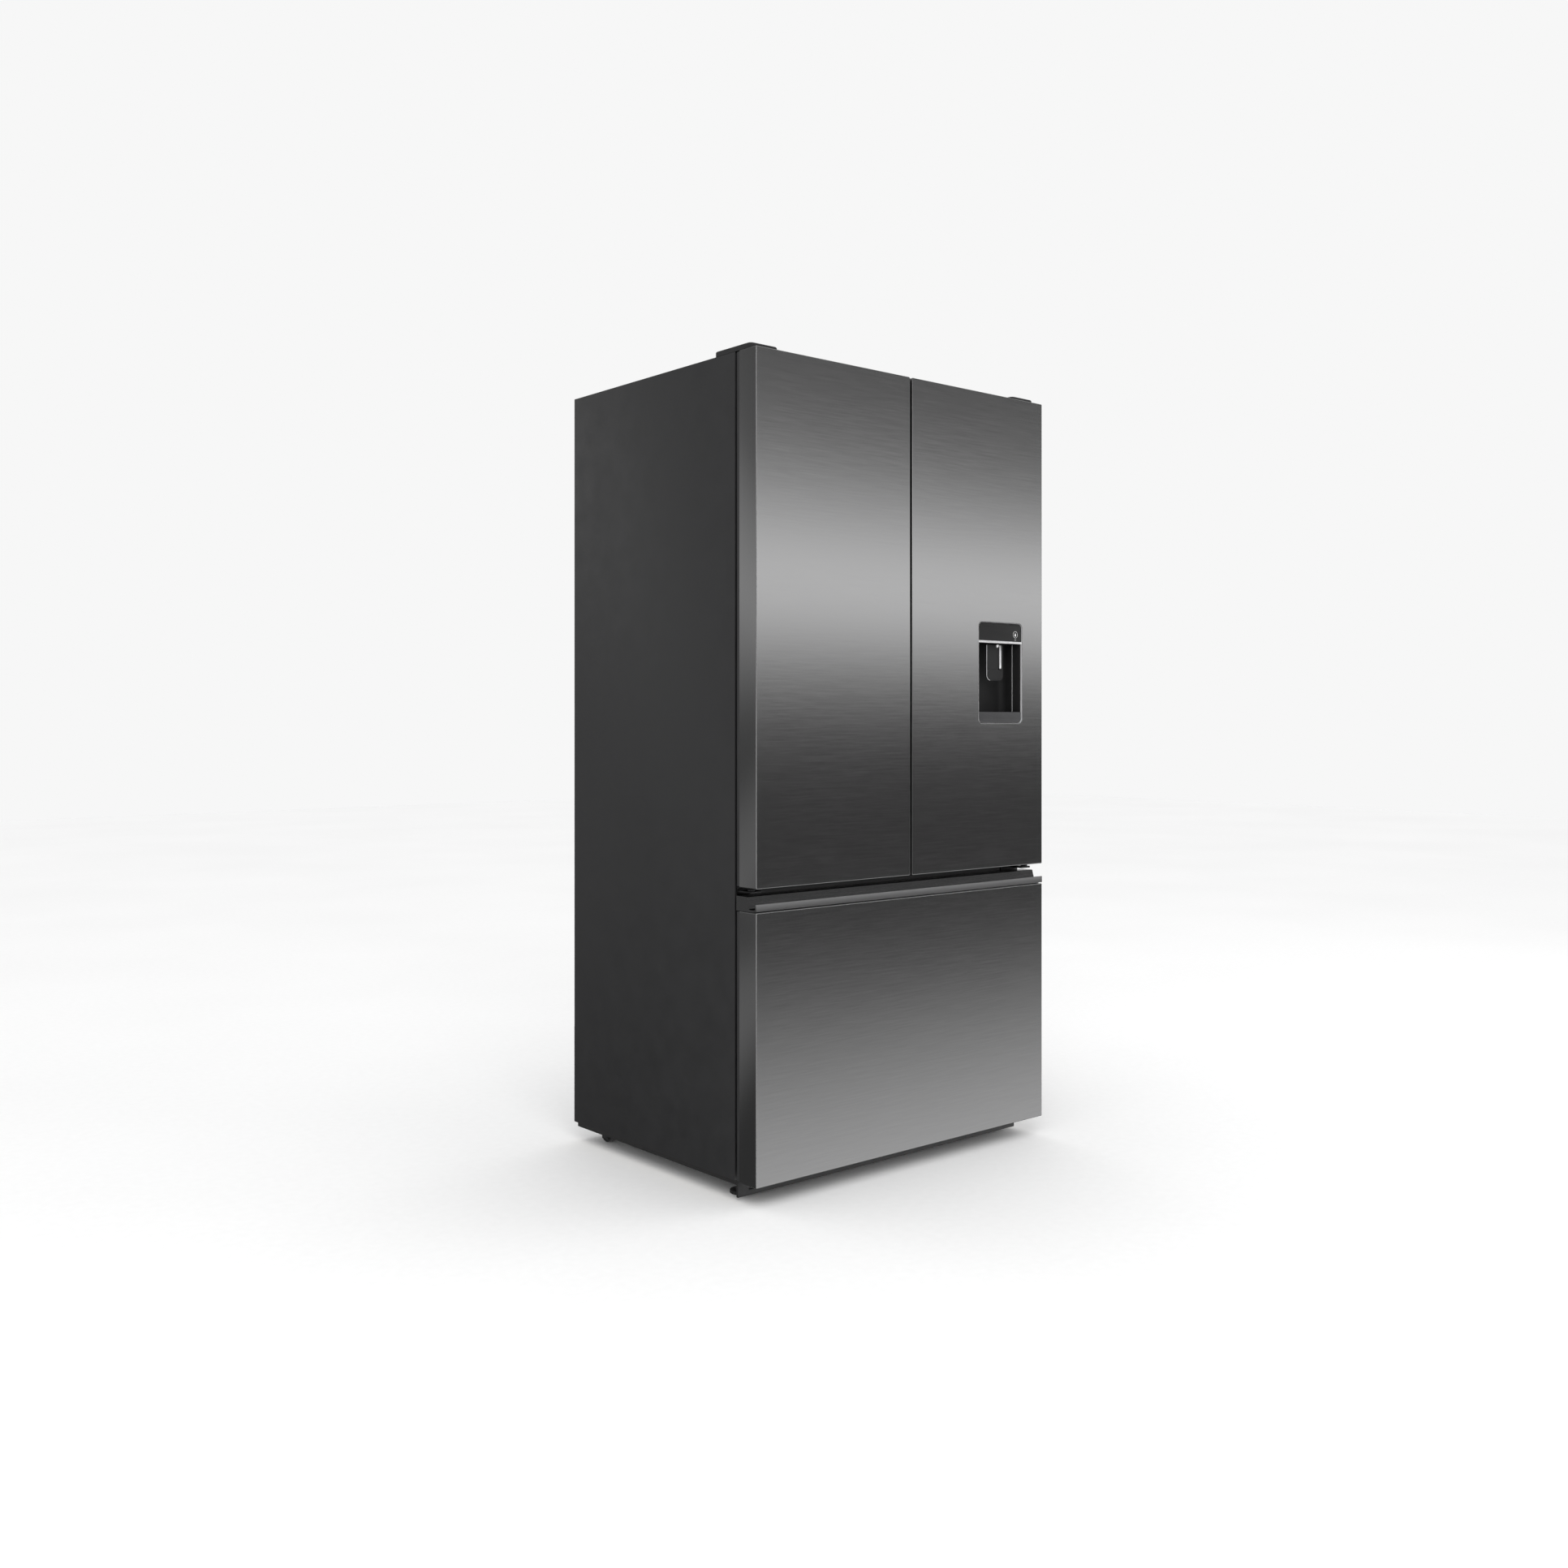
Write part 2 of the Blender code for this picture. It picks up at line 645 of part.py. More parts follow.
def make_back():
    """The sheet behind the insulation, and the slotted cover of the machine room under it."""
    side = CABINET_HALF - SHELL_SHEET
    seam = MACHINE_TOP + LOOSE
    box("back_panel", (-side, CABINET_REAR + GAP, seam), (side, BACK, CABINET_TOP - SHELL_SHEET))
    cover = slotted_sheet(
        "machine_cover",
        (-side, CABINET_BOTTOM + GAP),
        (side, seam - GAP),
        CABINET_REAR + GAP,
        BACK_SHEET,
        COVER_SLOTS,
        (INLET_FROM_SIDE + 2 * INLET_HALF_WIDTH + COVER_BAR, COVER_MARGIN_OVER),
        COVER_BAR,
    )
    low = (-side + INLET_FROM_SIDE, INLET_LEVEL - INLET_HALF_HEIGHT)
    high = (low[0] + 2 * INLET_HALF_WIDTH, INLET_LEVEL + INLET_HALF_HEIGHT)
    window = prism_y("inlet_window", rectangle(low, high, -GAP), BACK - POST_WIDTH, BACK + POST_WIDTH)
    cut(cover, window)
    lofted(
        "power_inlet",
        [
            upright(rectangle(low, high), BACK - INLET_LENGTH),
            upright(rectangle(low, high), BACK),
            upright(rectangle(low, high, LOOSE), BACK),
            upright(rectangle(low, high, LOOSE), BACK - INLET_LENGTH + LOOSE),
        ],
    )


# ---------------------------------------------------------------- base and machine room


def fan_post():
    """The upright tab of the base frame that carries the fan's motor."""
    return box(
        "fan_post",
        (FAN_X + FAN_HUB_LENGTH, machine_middle() - POST_WIDTH / 2, BASE_TOP - POST_SHEET),
        (FAN_X + FAN_HUB_LENGTH + POST_SHEET, machine_middle() + POST_WIDTH / 2, FAN_LEVEL + POST_WIDTH / 2),
    )


def machine_middle():
    return (MACHINE_FRONT + CABINET_REAR) / 2


def roller_place(side):
    return side * (CABINET_HALF - ROLLER_FROM_SIDE), BACK - ROLLER_FROM_BACK


def foot_place(side):
    return side * (CABINET_HALF - FOOT_FROM_SIDE), CABINET_FRONT + FOOT_FROM_FRONT


def make_base_frame():
    """A pressed tray under the cabinet, with ears that hold the roller axles and holes for the feet."""
    half = CABINET_HALF - BASE_FRAME_INSET
    bottom = BASE_TOP - BASE_FRAME_HEIGHT
    frame = box(
        "base_frame",
        (-half, CABINET_FRONT + GRILLE_SETBACK + GRILLE_SHEET + GAP, bottom),
        (half, CABINET_REAR, BASE_TOP),
    )
    join(frame, fan_post())
    for side, word in ((-1, "left"), (1, "right")):
        x, y = roller_place(side)
        slot_half = ROLLER_WIDTH / 2 + RUNNING
        reach = ROLLER_RADIUS + LOOSE
        for edge in (-1, 1):
            inner = x + edge * slot_half
            outer = x + edge * (slot_half + EAR_THICKNESS)
            low, high = min(inner, outer), max(inner, outer)
            ear = box(
                f"{word}_ear_{'inner' if edge * side < 0 else 'outer'}",
                (low, y - EAR_LENGTH / 2, ROLLER_RADIUS - EAR_LENGTH / 2),
                (high, y + EAR_LENGTH / 2, BASE_TOP - BASE_FRAME_HEIGHT / 2),
            )
            join(frame, ear)
        well = box(
            word + "_roller_well",
            (x - slot_half, y - reach, -LOOSE),
            (x + slot_half, y + reach, BASE_TOP + LOOSE),
        )
        bore = lofted(
            word + "_axle_bore",
            [
                sideways(circle(ROLLER_AXLE_RADIUS + RUNNING, SMALL_SIDES, (y, ROLLER_RADIUS)), at)
                for at in (x - slot_half - 2 * EAR_THICKNESS, x + slot_half + 2 * EAR_THICKNESS)
            ],
        )
        hole = pillar(
            word + "_foot_hole",
            foot_place(side),
            FOOT_STEM_RADIUS + RUNNING,
            bottom - LOOSE,
            BASE_TOP + LOOSE,
        )
        cut(frame, well, bore, hole)


def make_grille():
    half = CABINET_HALF - BASE_FRAME_INSET
    slotted_sheet(
        "toe_grille",
        (-half, GRILLE_BOTTOM),
        (half, BASE_TOP),
        CABINET_FRONT + GRILLE_SETBACK,
        GRILLE_SHEET,
        GRILLE_SLOTS,
        (GRILLE_END, GRILLE_EDGE),
        GRILLE_BAR,
    )


def make_feet_and_rollers():
    """Two levelling feet in front, two rollers behind, each on its own axis."""
    for side, word in ((-1, "left"), (1, "right")):
        x, y = foot_place(side)
        foot = turned_z(
            "levelling_foot_" + word,
            [
                (FOOT_RADIUS, 0.0),
                (FOOT_RADIUS, FOOT_HEIGHT),
                (FOOT_STEM_RADIUS, FOOT_HEIGHT + FOOT_STEM_RADIUS),
                (FOOT_STEM_RADIUS, BASE_TOP - RUNNING),
            ],
            (x, y),
        )
        carry(pivot(word + "_foot_screw", (x, y, 0.0)), foot)
        x, y = roller_place(side)
        wheel, stub = ROLLER_WIDTH / 2, ROLLER_WIDTH / 2 + RUNNING + EAR_THICKNESS
        roller = turned_x(
            "rear_roller_" + word,
            [
                (ROLLER_AXLE_RADIUS, x - stub),
                (ROLLER_AXLE_RADIUS, x - wheel),
                (ROLLER_RADIUS, x - wheel),
                (ROLLER_RADIUS, x + wheel),
                (ROLLER_AXLE_RADIUS, x + wheel),
                (ROLLER_AXLE_RADIUS, x + stub),
            ],
            (y, ROLLER_RADIUS),
        )
        carry(pivot(word + "_roller_axle", (x, y, ROLLER_RADIUS)), roller)


def make_compressor():
    x, y = -COMPRESSOR_FROM_CENTRE, machine_middle()
    foot_top = BASE_TOP + GAP + COMPRESSOR_FOOT_SHEET
    dome = COMPRESSOR_RADIUS / 2
    pot = turned_z(
        "compressor",
        [
            (COMPRESSOR_RADIUS - dome / 2, foot_top - COMPRESSOR_FOOT_SHEET / 2),
            (COMPRESSOR_RADIUS, foot_top + dome / 2),
            (COMPRESSOR_RADIUS, foot_top + COMPRESSOR_HEIGHT - dome),
            (COMPRESSOR_RADIUS - dome / 3, foot_top + COMPRESSOR_HEIGHT - dome / 3),
            (COMPRESSOR_RADIUS - dome, foot_top + COMPRESSOR_HEIGHT),
        ],
        (x, y),
    )
    plate = box(
        "compressor_plate",
        (x - COMPRESSOR_FOOT, y - COMPRESSOR_FOOT, BASE_TOP + GAP),
        (x + COMPRESSOR_FOOT, y + COMPRESSOR_FOOT, foot_top),
    )
    join(pot, plate)


def make_condenser_coil():
    """One tube that runs up and down in passes, side by side along X."""
    route = []
    y0, y1 = machine_middle() - COIL_HALF_DEPTH, machine_middle() + COIL_HALF_DEPTH
    for i in range(COIL_PASSES):
        x = COIL_START + i * COIL_PITCH
        ends = (COIL_BOTTOM, COIL_TOP) if i % 2 == 0 else (COIL_TOP, COIL_BOTTOM)
        route += [(x, y0, ends[0]), (x, y1, ends[0]), (x, y1, ends[1]), (x, y0, ends[1])]
    curve = bpy.data.curves.new("condenser_coil", "CURVE")
    curve.dimensions = "3D"
    curve.bevel_depth = COIL_TUBE_RADIUS
    curve.bevel_resolution = 1
    curve.use_fill_caps = True
    spline = curve.splines.new("POLY")
    spline.points.add(len(route) - 1)
    for point, place in zip(spline.points, route):
        point.co = (*place, 1.0)
    curve.materials.append(colour_for("condenser_coil"))
    made = bpy.data.objects.new("condenser_coil", curve)
    bpy.context.collection.objects.link(made)


def make_condenser_fan():
    """A hub with a twisted blade drawn out of every third of its sides."""
    sides = FAN_SIDES_PER_BLADE * FAN_BLADES
    centre = Vector((FAN_X, machine_middle(), FAN_LEVEL))
    bm = bmesh.new()
    ends = []
    for x in (-FAN_HUB_LENGTH / 2, FAN_HUB_LENGTH / 2):
        ends.append([bm.verts.new((x, y, z)) for y, z in circle(FAN_HUB_RADIUS, sides)])
    walls = []
    for i in range(sides):
        j = (i + 1) % sides
        walls.append(bm.faces.new((ends[0][i], ends[0][j], ends[1][j], ends[1][i])))
    bm.faces.new(ends[0])
    bm.faces.new(ends[1])
    bmesh.ops.recalc_face_normals(bm, faces=bm.faces)
    for wall in walls[::FAN_SIDES_PER_BLADE]:
        outward = wall.normal.copy()
        bmesh.ops.inset_individual(bm, faces=[wall], thickness=FAN_HUB_LENGTH / 6)
        drawn = bmesh.ops.extrude_discrete_faces(bm, faces=[wall])["faces"][0]
        reach = FAN_RADIUS - FAN_HUB_RADIUS - RUNNING
        bmesh.ops.translate(bm, verts=drawn.verts, vec=outward * reach)
        middle = drawn.calc_center_median()
        twist = Matrix.Rotation(math.radians(FAN_TWIST), 3, outward)
        bmesh.ops.rotate(bm, verts=drawn.verts, cent=middle, matrix=twist)
        bmesh.ops.scale(
            bm,
            verts=drawn.verts,
            vec=Vector((1, 1, 1)) * FAN_SPREAD,
            space=Matrix.Translation(-middle),
        )
    bmesh.ops.translate(bm, verts=bm.verts, vec=centre)
    fan = solid("condenser_fan", bm)
    carry(pivot("condenser_fan_spindle", centre), fan)


def make_evaporator():
    """A finned block behind the freezer's duct cover: a comb of fins on one backbone."""
    front = FREEZER_COVER_FRONT + FREEZER_COVER_SHEET + 2 * LOOSE
    rear = front + EVAPORATOR_DEPTH
    bottom = (STEP_TOP + FREEZER_CEILING - EVAPORATOR_HEIGHT) / 2
    half = EVAPORATOR_HALF_WIDTH
    fin = 2 * half / (2 * EVAPORATOR_FINS - 1)
    outline = [(-half, rear), (-half, front)]
    for i in range(EVAPORATOR_FINS - 1):
        x = -half + (2 * i + 1) * fin
        outline += [(x, front), (x, rear - LOOSE), (x + fin, rear - LOOSE), (x + fin, front)]
    outline += [(half, front), (half, rear)]
    prism_z("evaporator_coil", outline, bottom, bottom + EVAPORATOR_HEIGHT)


# ---------------------------------------------------------------- inside the compartments


def make_duct_covers():
    front = INNER_REAR - DUCT_COVER_THICKNESS
    box(
        "fridge_duct_cover",
        (-DUCT_COVER_HALF_WIDTH, front, CRISPER_COVER_TOP + 2 * LOOSE),
        (DUCT_COVER_HALF_WIDTH, INNER_REAR - GAP, FRIDGE_CEILING - 2 * LOOSE),
        DUCT_COVER_BEVEL,
    )
    slotted_sheet(
        "freezer_duct_cover",
        (-INNER_HALF + GAP, STEP_TOP + GAP),
        (INNER_HALF - GAP, FREEZER_CEILING - GAP),
        FREEZER_COVER_FRONT,
        FREEZER_COVER_SHEET,
        FREEZER_COVER_SLOTS,
        (FREEZER_COVER_BESIDE, FREEZER_COVER_OVER),
        FREEZER_COVER_BAR,
    )


def make_shelves():
    """Glass shelves, evenly spaced between the crisper cover and the ceiling."""
    half = INNER_HALF - RUNNING
    front, rear = CABINET_FRONT + SHELF_SETBACK, INNER_REAR - DUCT_COVER_THICKNESS - RUNNING
    pitch = (FRIDGE_CEILING - CRISPER_COVER_TOP) / (SHELVES + 1)
    for i, name in enumerate(("middle_shelf", "upper_shelf")):
        z = CRISPER_COVER_TOP + (i + 1) * pitch
        box(name, (-half, front, z - SHELF_THICKNESS), (half, rear, z))
    rear = INNER_REAR - RUNNING
    box("crisper_cover", (-half, front, CRISPER_COVER_BOTTOM), (half, rear, CRISPER_COVER_TOP))


def make_crispers():
    front, rear = CABINET_FRONT + CRISPER_SETBACK, INNER_REAR - CRISPER_REAR
    middle, wall_side = LOOSE, INNER_HALF - LOOSE
    for side, word in ((-1, "left"), (1, "right")):
        x0, x1 = sorted((side * middle, side * wall_side))
        crisper = tub(
            "crisper_" + word,
            (x0, front, CRISPER_BOTTOM),
            (x1, rear, CRISPER_TOP),
            CRISPER_WALL,
            CRISPER_TAPER,
        )
        carry(pivot(word + "_crisper_slide", ((x0 + x1) / 2, front, CRISPER_BOTTOM)), crisper)


# ---------------------------------------------------------------- hinges


def make_top_hinge(side, word):
    """A plate on the cabinet's top with a pin that drops into the door, and its cover."""
    outer = HALF - TOP_PLATE_FROM_SIDE
    x0, x1 = sorted((side * outer, side * (outer - TOP_PLATE_WIDTH)))
    y0, y1 = PIN_Y - PLATE_BEFORE_PIN, CABINET_FRONT + TOP_PLATE_ON_CABINET
    z0 = CABINET_TOP + GAP
    z1 = z0 + HINGE_PLATE
    plate = prism_z("top_hinge_" + word, rounded((x0, y0), (x1, y1), PLATE_BEFORE_PIN / 2), z0, z1)
    pin = pillar(word + "_top_pin", (side * PIN_X, PIN_Y), PIN_RADIUS, DOOR_TOP - PIN_DEPTH, z1 - GAP)
    join(plate, pin)
    low = (x0 - COVER_MARGIN, y0 - COVER_MARGIN)
    high = (x1 + COVER_MARGIN, y1 + COVER_MARGIN)
    corner = PLATE_BEFORE_PIN / 2 + COVER_MARGIN
    inner = rounded(low, high, corner, COVER_WALL)
    lofted(
        "top_hinge_cover_" + word,
        [
            level(rounded(low, high, corner, FACE_CHAMFER), HEIGHT),
            level(rounded(low, high, corner), HEIGHT - FACE_CHAMFER),
            level(rounded(low, high, corner), z0),
            level(inner, z0),
            level(inner, HEIGHT - COVER_WALL),
        ],
    )


def make_middle_hinge(side, word):
    """A plate held to the cabinet's front, with a collar and a pin that stands up into the door."""
    z0 = HANDLE_TOP + MIDDLE_PLATE_RISE
    z1 = z0 + HINGE_PLATE
    outer = HALF - TOP_PLATE_FROM_SIDE
    x0, x1 = sorted((side * outer, side * (outer - MIDDLE_PLATE_WIDTH)))
    rear = CABINET_FRONT - GAP
    plate = prism_z(
        "middle_hinge_" + word,
        rounded((x0, PIN_Y - PLATE_BEFORE_PIN), (x1, rear), PLATE_BEFORE_PIN / 2),
        z0,
        z1,
    )
    f0, f1 = sorted((side * outer, side * (outer - MIDDLE_FLANGE_WIDTH)))
    flange = box(
        word + "_flange",
        (f0, rear - MIDDLE_FLANGE_SHEET, z0 - MIDDLE_FLANGE_DROP),
        (f1, rear, UPPER_DOOR_BOTTOM - FACE_CHAMFER),
    )
    centre = (side * PIN_X, PIN_Y)
    collar = pillar(word + "_collar", centre, COLLAR_RADIUS, z1 - FACE_CHAMFER, z1 + COLLAR_HEIGHT)
    pin = pillar(word + "_pin", centre, PIN_RADIUS, z1 - FACE_CHAMFER, UPPER_DOOR_BOTTOM + PIN_DEPTH)
    join(plate, flange, collar, pin)


def pin_bores(word, side):
    """Round helpers that cut the two pin holes of a door."""
    centre = (side * PIN_X, PIN_Y)
    radius = PIN_RADIUS + RUNNING
    deep = PIN_DEPTH + LOOSE
    foot = UPPER_DOOR_BOTTOM
    lower = pillar(word + "_lower_bore", centre, radius, foot - LOOSE, foot + deep)
    upper = pillar(word + "_upper_bore", centre, radius, DOOR_TOP - deep, DOOR_TOP + LOOSE)
    return lower, upper


# ---------------------------------------------------------------- upper doors


def door_outline(side):
    """Low and high corners of an upper door, in X and Z."""
    x0, x1 = sorted((side * HALF, side * SEAM / 2))
    return (x0, UPPER_DOOR_BOTTOM), (x1, DOOR_TOP)


def make_door_skin(side, word):
    low, high = door_outline(side)
    skin = tray_back(word + "_door_skin", low, high, FACE, FACE + SKIN_RETURN, SKIN, CORNER_RADIUS)
    return cut(skin, *pin_bores(word + "_skin", side))


def dyke_outline(side):
    x0, x1 = sorted((side * DYKE_OUTSIDE, side * DYKE_TO_SEAM))
    return (x0, DYKE_BOTTOM), (x1, DYKE_TOP)


def make_door_liner(side, word):
    """The foamed inner half of a door: a slab that fills the skin, with a raised frame that holds the bins."""
    low, high = door_outline(side)
    body = rounded(low, high, CORNER_RADIUS, SKIN + GAP)
    dyke_low, dyke_high = dyke_outline(side)
    outside = rounded(dyke_low, dyke_high, CORNER_RADIUS)
    inside = rounded(dyke_low, dyke_high, CORNER_RADIUS, DYKE_WIDTH)
    liner = lofted(
        word + "_door_liner",
        [
            upright(body, FACE + SKIN + GAP),
            upright(body, DOOR_REAR),
            upright(outside, DOOR_REAR),
            upright(outside, DYKE_REAR),
            upright(inside, DYKE_REAR),
            upright(inside, DOOR_REAR),
        ],
    )
    return cut(liner, *pin_bores(word + "_liner", side))


def make_door_gasket(side, word):
    low, high = door_outline(side)
    low = tuple(v + GASKET_INSET for v in low)
    high = tuple(v - GASKET_INSET for v in high)
    y0 = DOOR_REAR + GAP
    return frame_ring(word + "_door_gasket", low, high, GASKET_WIDTH, y0, DOOR_REAR + GASKET_DEPTH)


def make_bin(name, side, bottom, height=BIN_HEIGHT):
    """A bin that hangs between the uprights of the raised frame."""
    low, high = dyke_outline(side)
    inset = DYKE_WIDTH + 2 * GAP
    return tub(
        name,
        (low[0] + inset, DOOR_REAR + GAP, bottom),
        (high[0] - inset, DOOR_REAR + BIN_DEPTH, bottom + height),
        BIN_WALL,
        BIN_TAPER,
    )


def make_left_door():
    hinge = pivot("left_door_hinge", (-PIN_X, PIN_Y, UPPER_DOOR_BOTTOM))
    pieces = [make_door_skin(-1, "left"), make_door_liner(-1, "left"), make_door_gasket(-1, "left")]
    pitch = (DYKE_TOP - DYKE_WIDTH - BIN_ZONE_BOTTOM) / LEFT_BINS
    for i, word in enumerate(("lower", "middle", "upper")):
        pieces.append(make_bin("left_bin_" + word, -1, BIN_ZONE_BOTTOM + i * pitch))
    carry(hinge, *pieces)
    make_mullion(hinge)


def make_mullion(hinge):
    """The flap beside the seam: round at its hinge end, square at the seam."""
    r = MULLION_THICKNESS / 2
    turns = [math.radians(90 + 180 * i / MULLION_STEPS) for i in range(MULLION_STEPS + 1)]
    plan = [(MULLION_X + r * math.cos(a), MULLION_Y + r * math.sin(a)) for a in turns]
    plan += [(-SEAM / 2, MULLION_Y - r), (-SEAM / 2, MULLION_Y + r)]
    flap = prism_z(
        "mullion_flap",
        plan,
        FRIDGE_FLOOR + MULLION_END_CLEARANCE,
        FRIDGE_CEILING - MULLION_END_CLEARANCE,
    )
    axis = pivot("mullion_hinge", (MULLION_X, MULLION_Y, FRIDGE_FLOOR), hinge)
    carry(axis, flap)


def make_right_door():
    hinge = pivot("right_door_hinge", (PIN_X, PIN_Y, UPPER_DOOR_BOTTOM))
    low, high = dispenser_outline()
    skin = make_door_skin(1, "right")
    window = prism_y(
        "dispenser_window",
        rounded(low, high, DISPENSER_RADIUS),
        FACE - LOOSE,
        FACE + SKIN_RETURN / 2,
    )
    cut(skin, window)
    liner = make_door_liner(1, "right")
    _, dyke_high = dyke_outline(1)
    boss_bottom = DISPENSER_BOTTOM - BOSS_MARGIN
    boss_top = DISPENSER_TOP + BOSS_MARGIN
    boss = box(
        "dispenser_boss",
        (DISPENSER_LEFT - BOSS_MARGIN, DOOR_REAR - LOOSE, boss_bottom),
        (dyke_high[0] - DYKE_WIDTH / 2, DOOR_REAR + BOSS_DEPTH, boss_top),
    )
    pocket = prism_y(
        "dispenser_pocket",
        rectangle(low, high, GAP),
        FACE - LOOSE,
        HOUSING_REAR + GAP,
    )
    join(liner, boss)
    cut(liner, pocket)
    under_boss = boss_bottom - 2 * LOOSE - BIN_ZONE_BOTTOM
    above_boss = (boss_top + DYKE_TOP - DYKE_WIDTH - BIN_HEIGHT) / 2
    bins = [
        make_bin("right_bin_lower", 1, BIN_ZONE_BOTTOM, under_boss),
        make_bin("right_bin_upper", 1, above_boss),
    ]
    carry(hinge, skin, liner, make_door_gasket(1, "right"), *bins)
    make_dispenser(hinge)


# ---------------------------------------------------------------- dispenser


def dispenser_outline():
    return (DISPENSER_LEFT, DISPENSER_BOTTOM), (DISPENSER_RIGHT, DISPENSER_TOP)


def make_bezel():
    """A bright ring flush with the door, with the cross strip in one piece."""
    low, high = dispenser_outline()
    outer = rounded(low, high, DISPENSER_RADIUS, GAP)
    inner = rounded(low, high, DISPENSER_RADIUS, GAP + BEZEL_WIDTH)
    rear = FACE + BEZEL_DEPTH
    ring = lofted(
        "dispenser_bezel",
        [upright(outer, FACE), upright(outer, rear), upright(inner, rear), upright(inner, FACE)],
        True,
    )
    strip = box(
        "cross_strip",
        (low[0] + BEZEL_WIDTH / 2, FACE + GAP, STRIP_BOTTOM),
        (high[0] - BEZEL_WIDTH / 2, rear - GAP, STRIP_TOP),
    )
    return join(ring, strip)


def make_housing():
    """The black well of the dispenser, open in front between the tray and the strip."""
    low, high = dispenser_outline()
    inset = 3 * GAP
    housing = prism_y(
        "dispenser_housing",
        rectangle(low, high, inset),
        HOUSING_FRONT,
        HOUSING_REAR - GAP,
    )
    wall = HOUSING_WALL + inset
    plan = rounded(
        (low[0] + wall, HOUSING_FRONT - HOUSING_DEPTH),
        (high[0] - wall, HOUSING_REAR - GAP - HOUSING_WALL),
        DISPENSER_RADIUS,
    )
    well = prism_z("dispenser_well", plan, DISPENSER_BOTTOM + wall, STRIP_BOTTOM)
    return cut(housing, well)


def make_control_panel():
    low = (DISPENSER_LEFT + BEZEL_WIDTH + 2 * GAP, STRIP_TOP + GAP)
    high = (DISPENSER_RIGHT - BEZEL_WIDTH - 2 * GAP, DISPENSER_TOP - BEZEL_WIDTH - 2 * GAP)
    front = FACE + CONTROL_PANEL_SETBACK
    return prism_y(
        "dispenser_control_panel",
        rounded(low, high, DISPENSER_RADIUS - BEZEL_WIDTH),
        front,
        front + CONTROL_PANEL_SHEET,
    )


def make_drip_tray():
    """A removable tray that fills the foot of the well, dished on top."""
    margin = HOUSING_WALL + 4 * GAP
    low = (DISPENSER_LEFT + margin, HOUSING_FRONT)
    high = (DISPENSER_RIGHT - margin, HOUSING_REAR - margin)
    bottom, top = DISPENSER_BOTTOM + margin, DISPENSER_BOTTOM + HOUSING_WALL + TRAY_HEIGHT
    edge = DISPENSER_RADIUS
    return lofted(
        "dispenser_drip_tray",
        [
            level(rounded(low, high, edge, GAP), bottom),
            level(rounded(low, high, edge, GAP), top),
            level(rounded(low, high, edge, HOUSING_WALL), top),
            level(rounded(low, high, edge, HOUSING_WALL), top - TRAY_RECESS),
        ],
    )


def make_paddle():
    """A U-shaped plate that hangs from a pin at its top."""
    half = PADDLE_WIDTH / 2
    bottom = PADDLE_PIVOT - PADDLE_LENGTH + PADDLE_PIVOT_DROP
    top = PADDLE_PIVOT + PADDLE_THICKNESS
    corner = PADDLE_CORNER
    left, right = DISPENSER_X - half, DISPENSER_X + half
    outline = [(right, top), (left, top)]
    for x, start in ((left + corner, 180), (right - corner, 270)):
        for step in range(CORNER_STEPS + 1):
            angle = math.radians(start + 90 * step / CORNER_STEPS)
            outline.append((x + corner * math.cos(angle), bottom + corner + corner * math.sin(angle)))
    return prism_y(
        "dispenser_paddle",
        outline,
        PADDLE_Y - PADDLE_THICKNESS / 2,
        PADDLE_Y + PADDLE_THICKNESS / 2,
    )


def make_dispenser(hinge):
    nozzle = turned_z(
        "dispenser_nozzle",
        [
            (NOZZLE_RADIUS, STRIP_BOTTOM - GAP),
            (NOZZLE_RADIUS, STRIP_BOTTOM - NOZZLE_LENGTH / 2),
            (NOZZLE_RADIUS / 2, STRIP_BOTTOM - NOZZLE_LENGTH),
        ],
        (DISPENSER_X, FACE + NOZZLE_SETBACK),
        SMALL_SIDES,
    )
    carry(hinge, make_housing(), make_bezel(), make_control_panel(), make_drip_tray(), nozzle)
    axis = pivot("paddle_pin", (DISPENSER_X, PADDLE_Y, PADDLE_PIVOT), hinge)
    carry(axis, make_paddle())


# ---------------------------------------------------------------- freezer drawer


def drawer_outline():
    return (-HALF, DRAWER_BOTTOM), (HALF, DRAWER_PANEL_TOP)


def make_handle():
    """One extrusion over the full width: a lip flush with the panel and a scoop behind it for the fingers."""
    lip_top = HANDLE_BOTTOM + LIP_HEIGHT
    floor = HANDLE_BOTTOM + SCOOP_FLOOR
    foot = DRAWER_PANEL_TOP + GAP
    section = [
        (0.0, HANDLE_BOTTOM),
        (0.0, lip_top),
        (LIP_THICKNESS, lip_top),
        (LIP_THICKNESS, floor + SCOOP_RISE),
        (SCOOP_FRONT, floor),
        (SCOOP_REAR, floor),
        (SCOOP_WALL_FOOT, floor + SCOOP_RISE),
        (SCOOP_WALL_TOP, HANDLE_TOP),
        (DOOR_THICKNESS, HANDLE_TOP),
        (DOOR_THICKNESS, foot),
        (GROOVE_DEPTH, foot),
        (GROOVE_DEPTH, HANDLE_BOTTOM),
    ]
    return prism_x("drawer_handle", [(FACE + y, z) for y, z in section], -HALF, HALF)


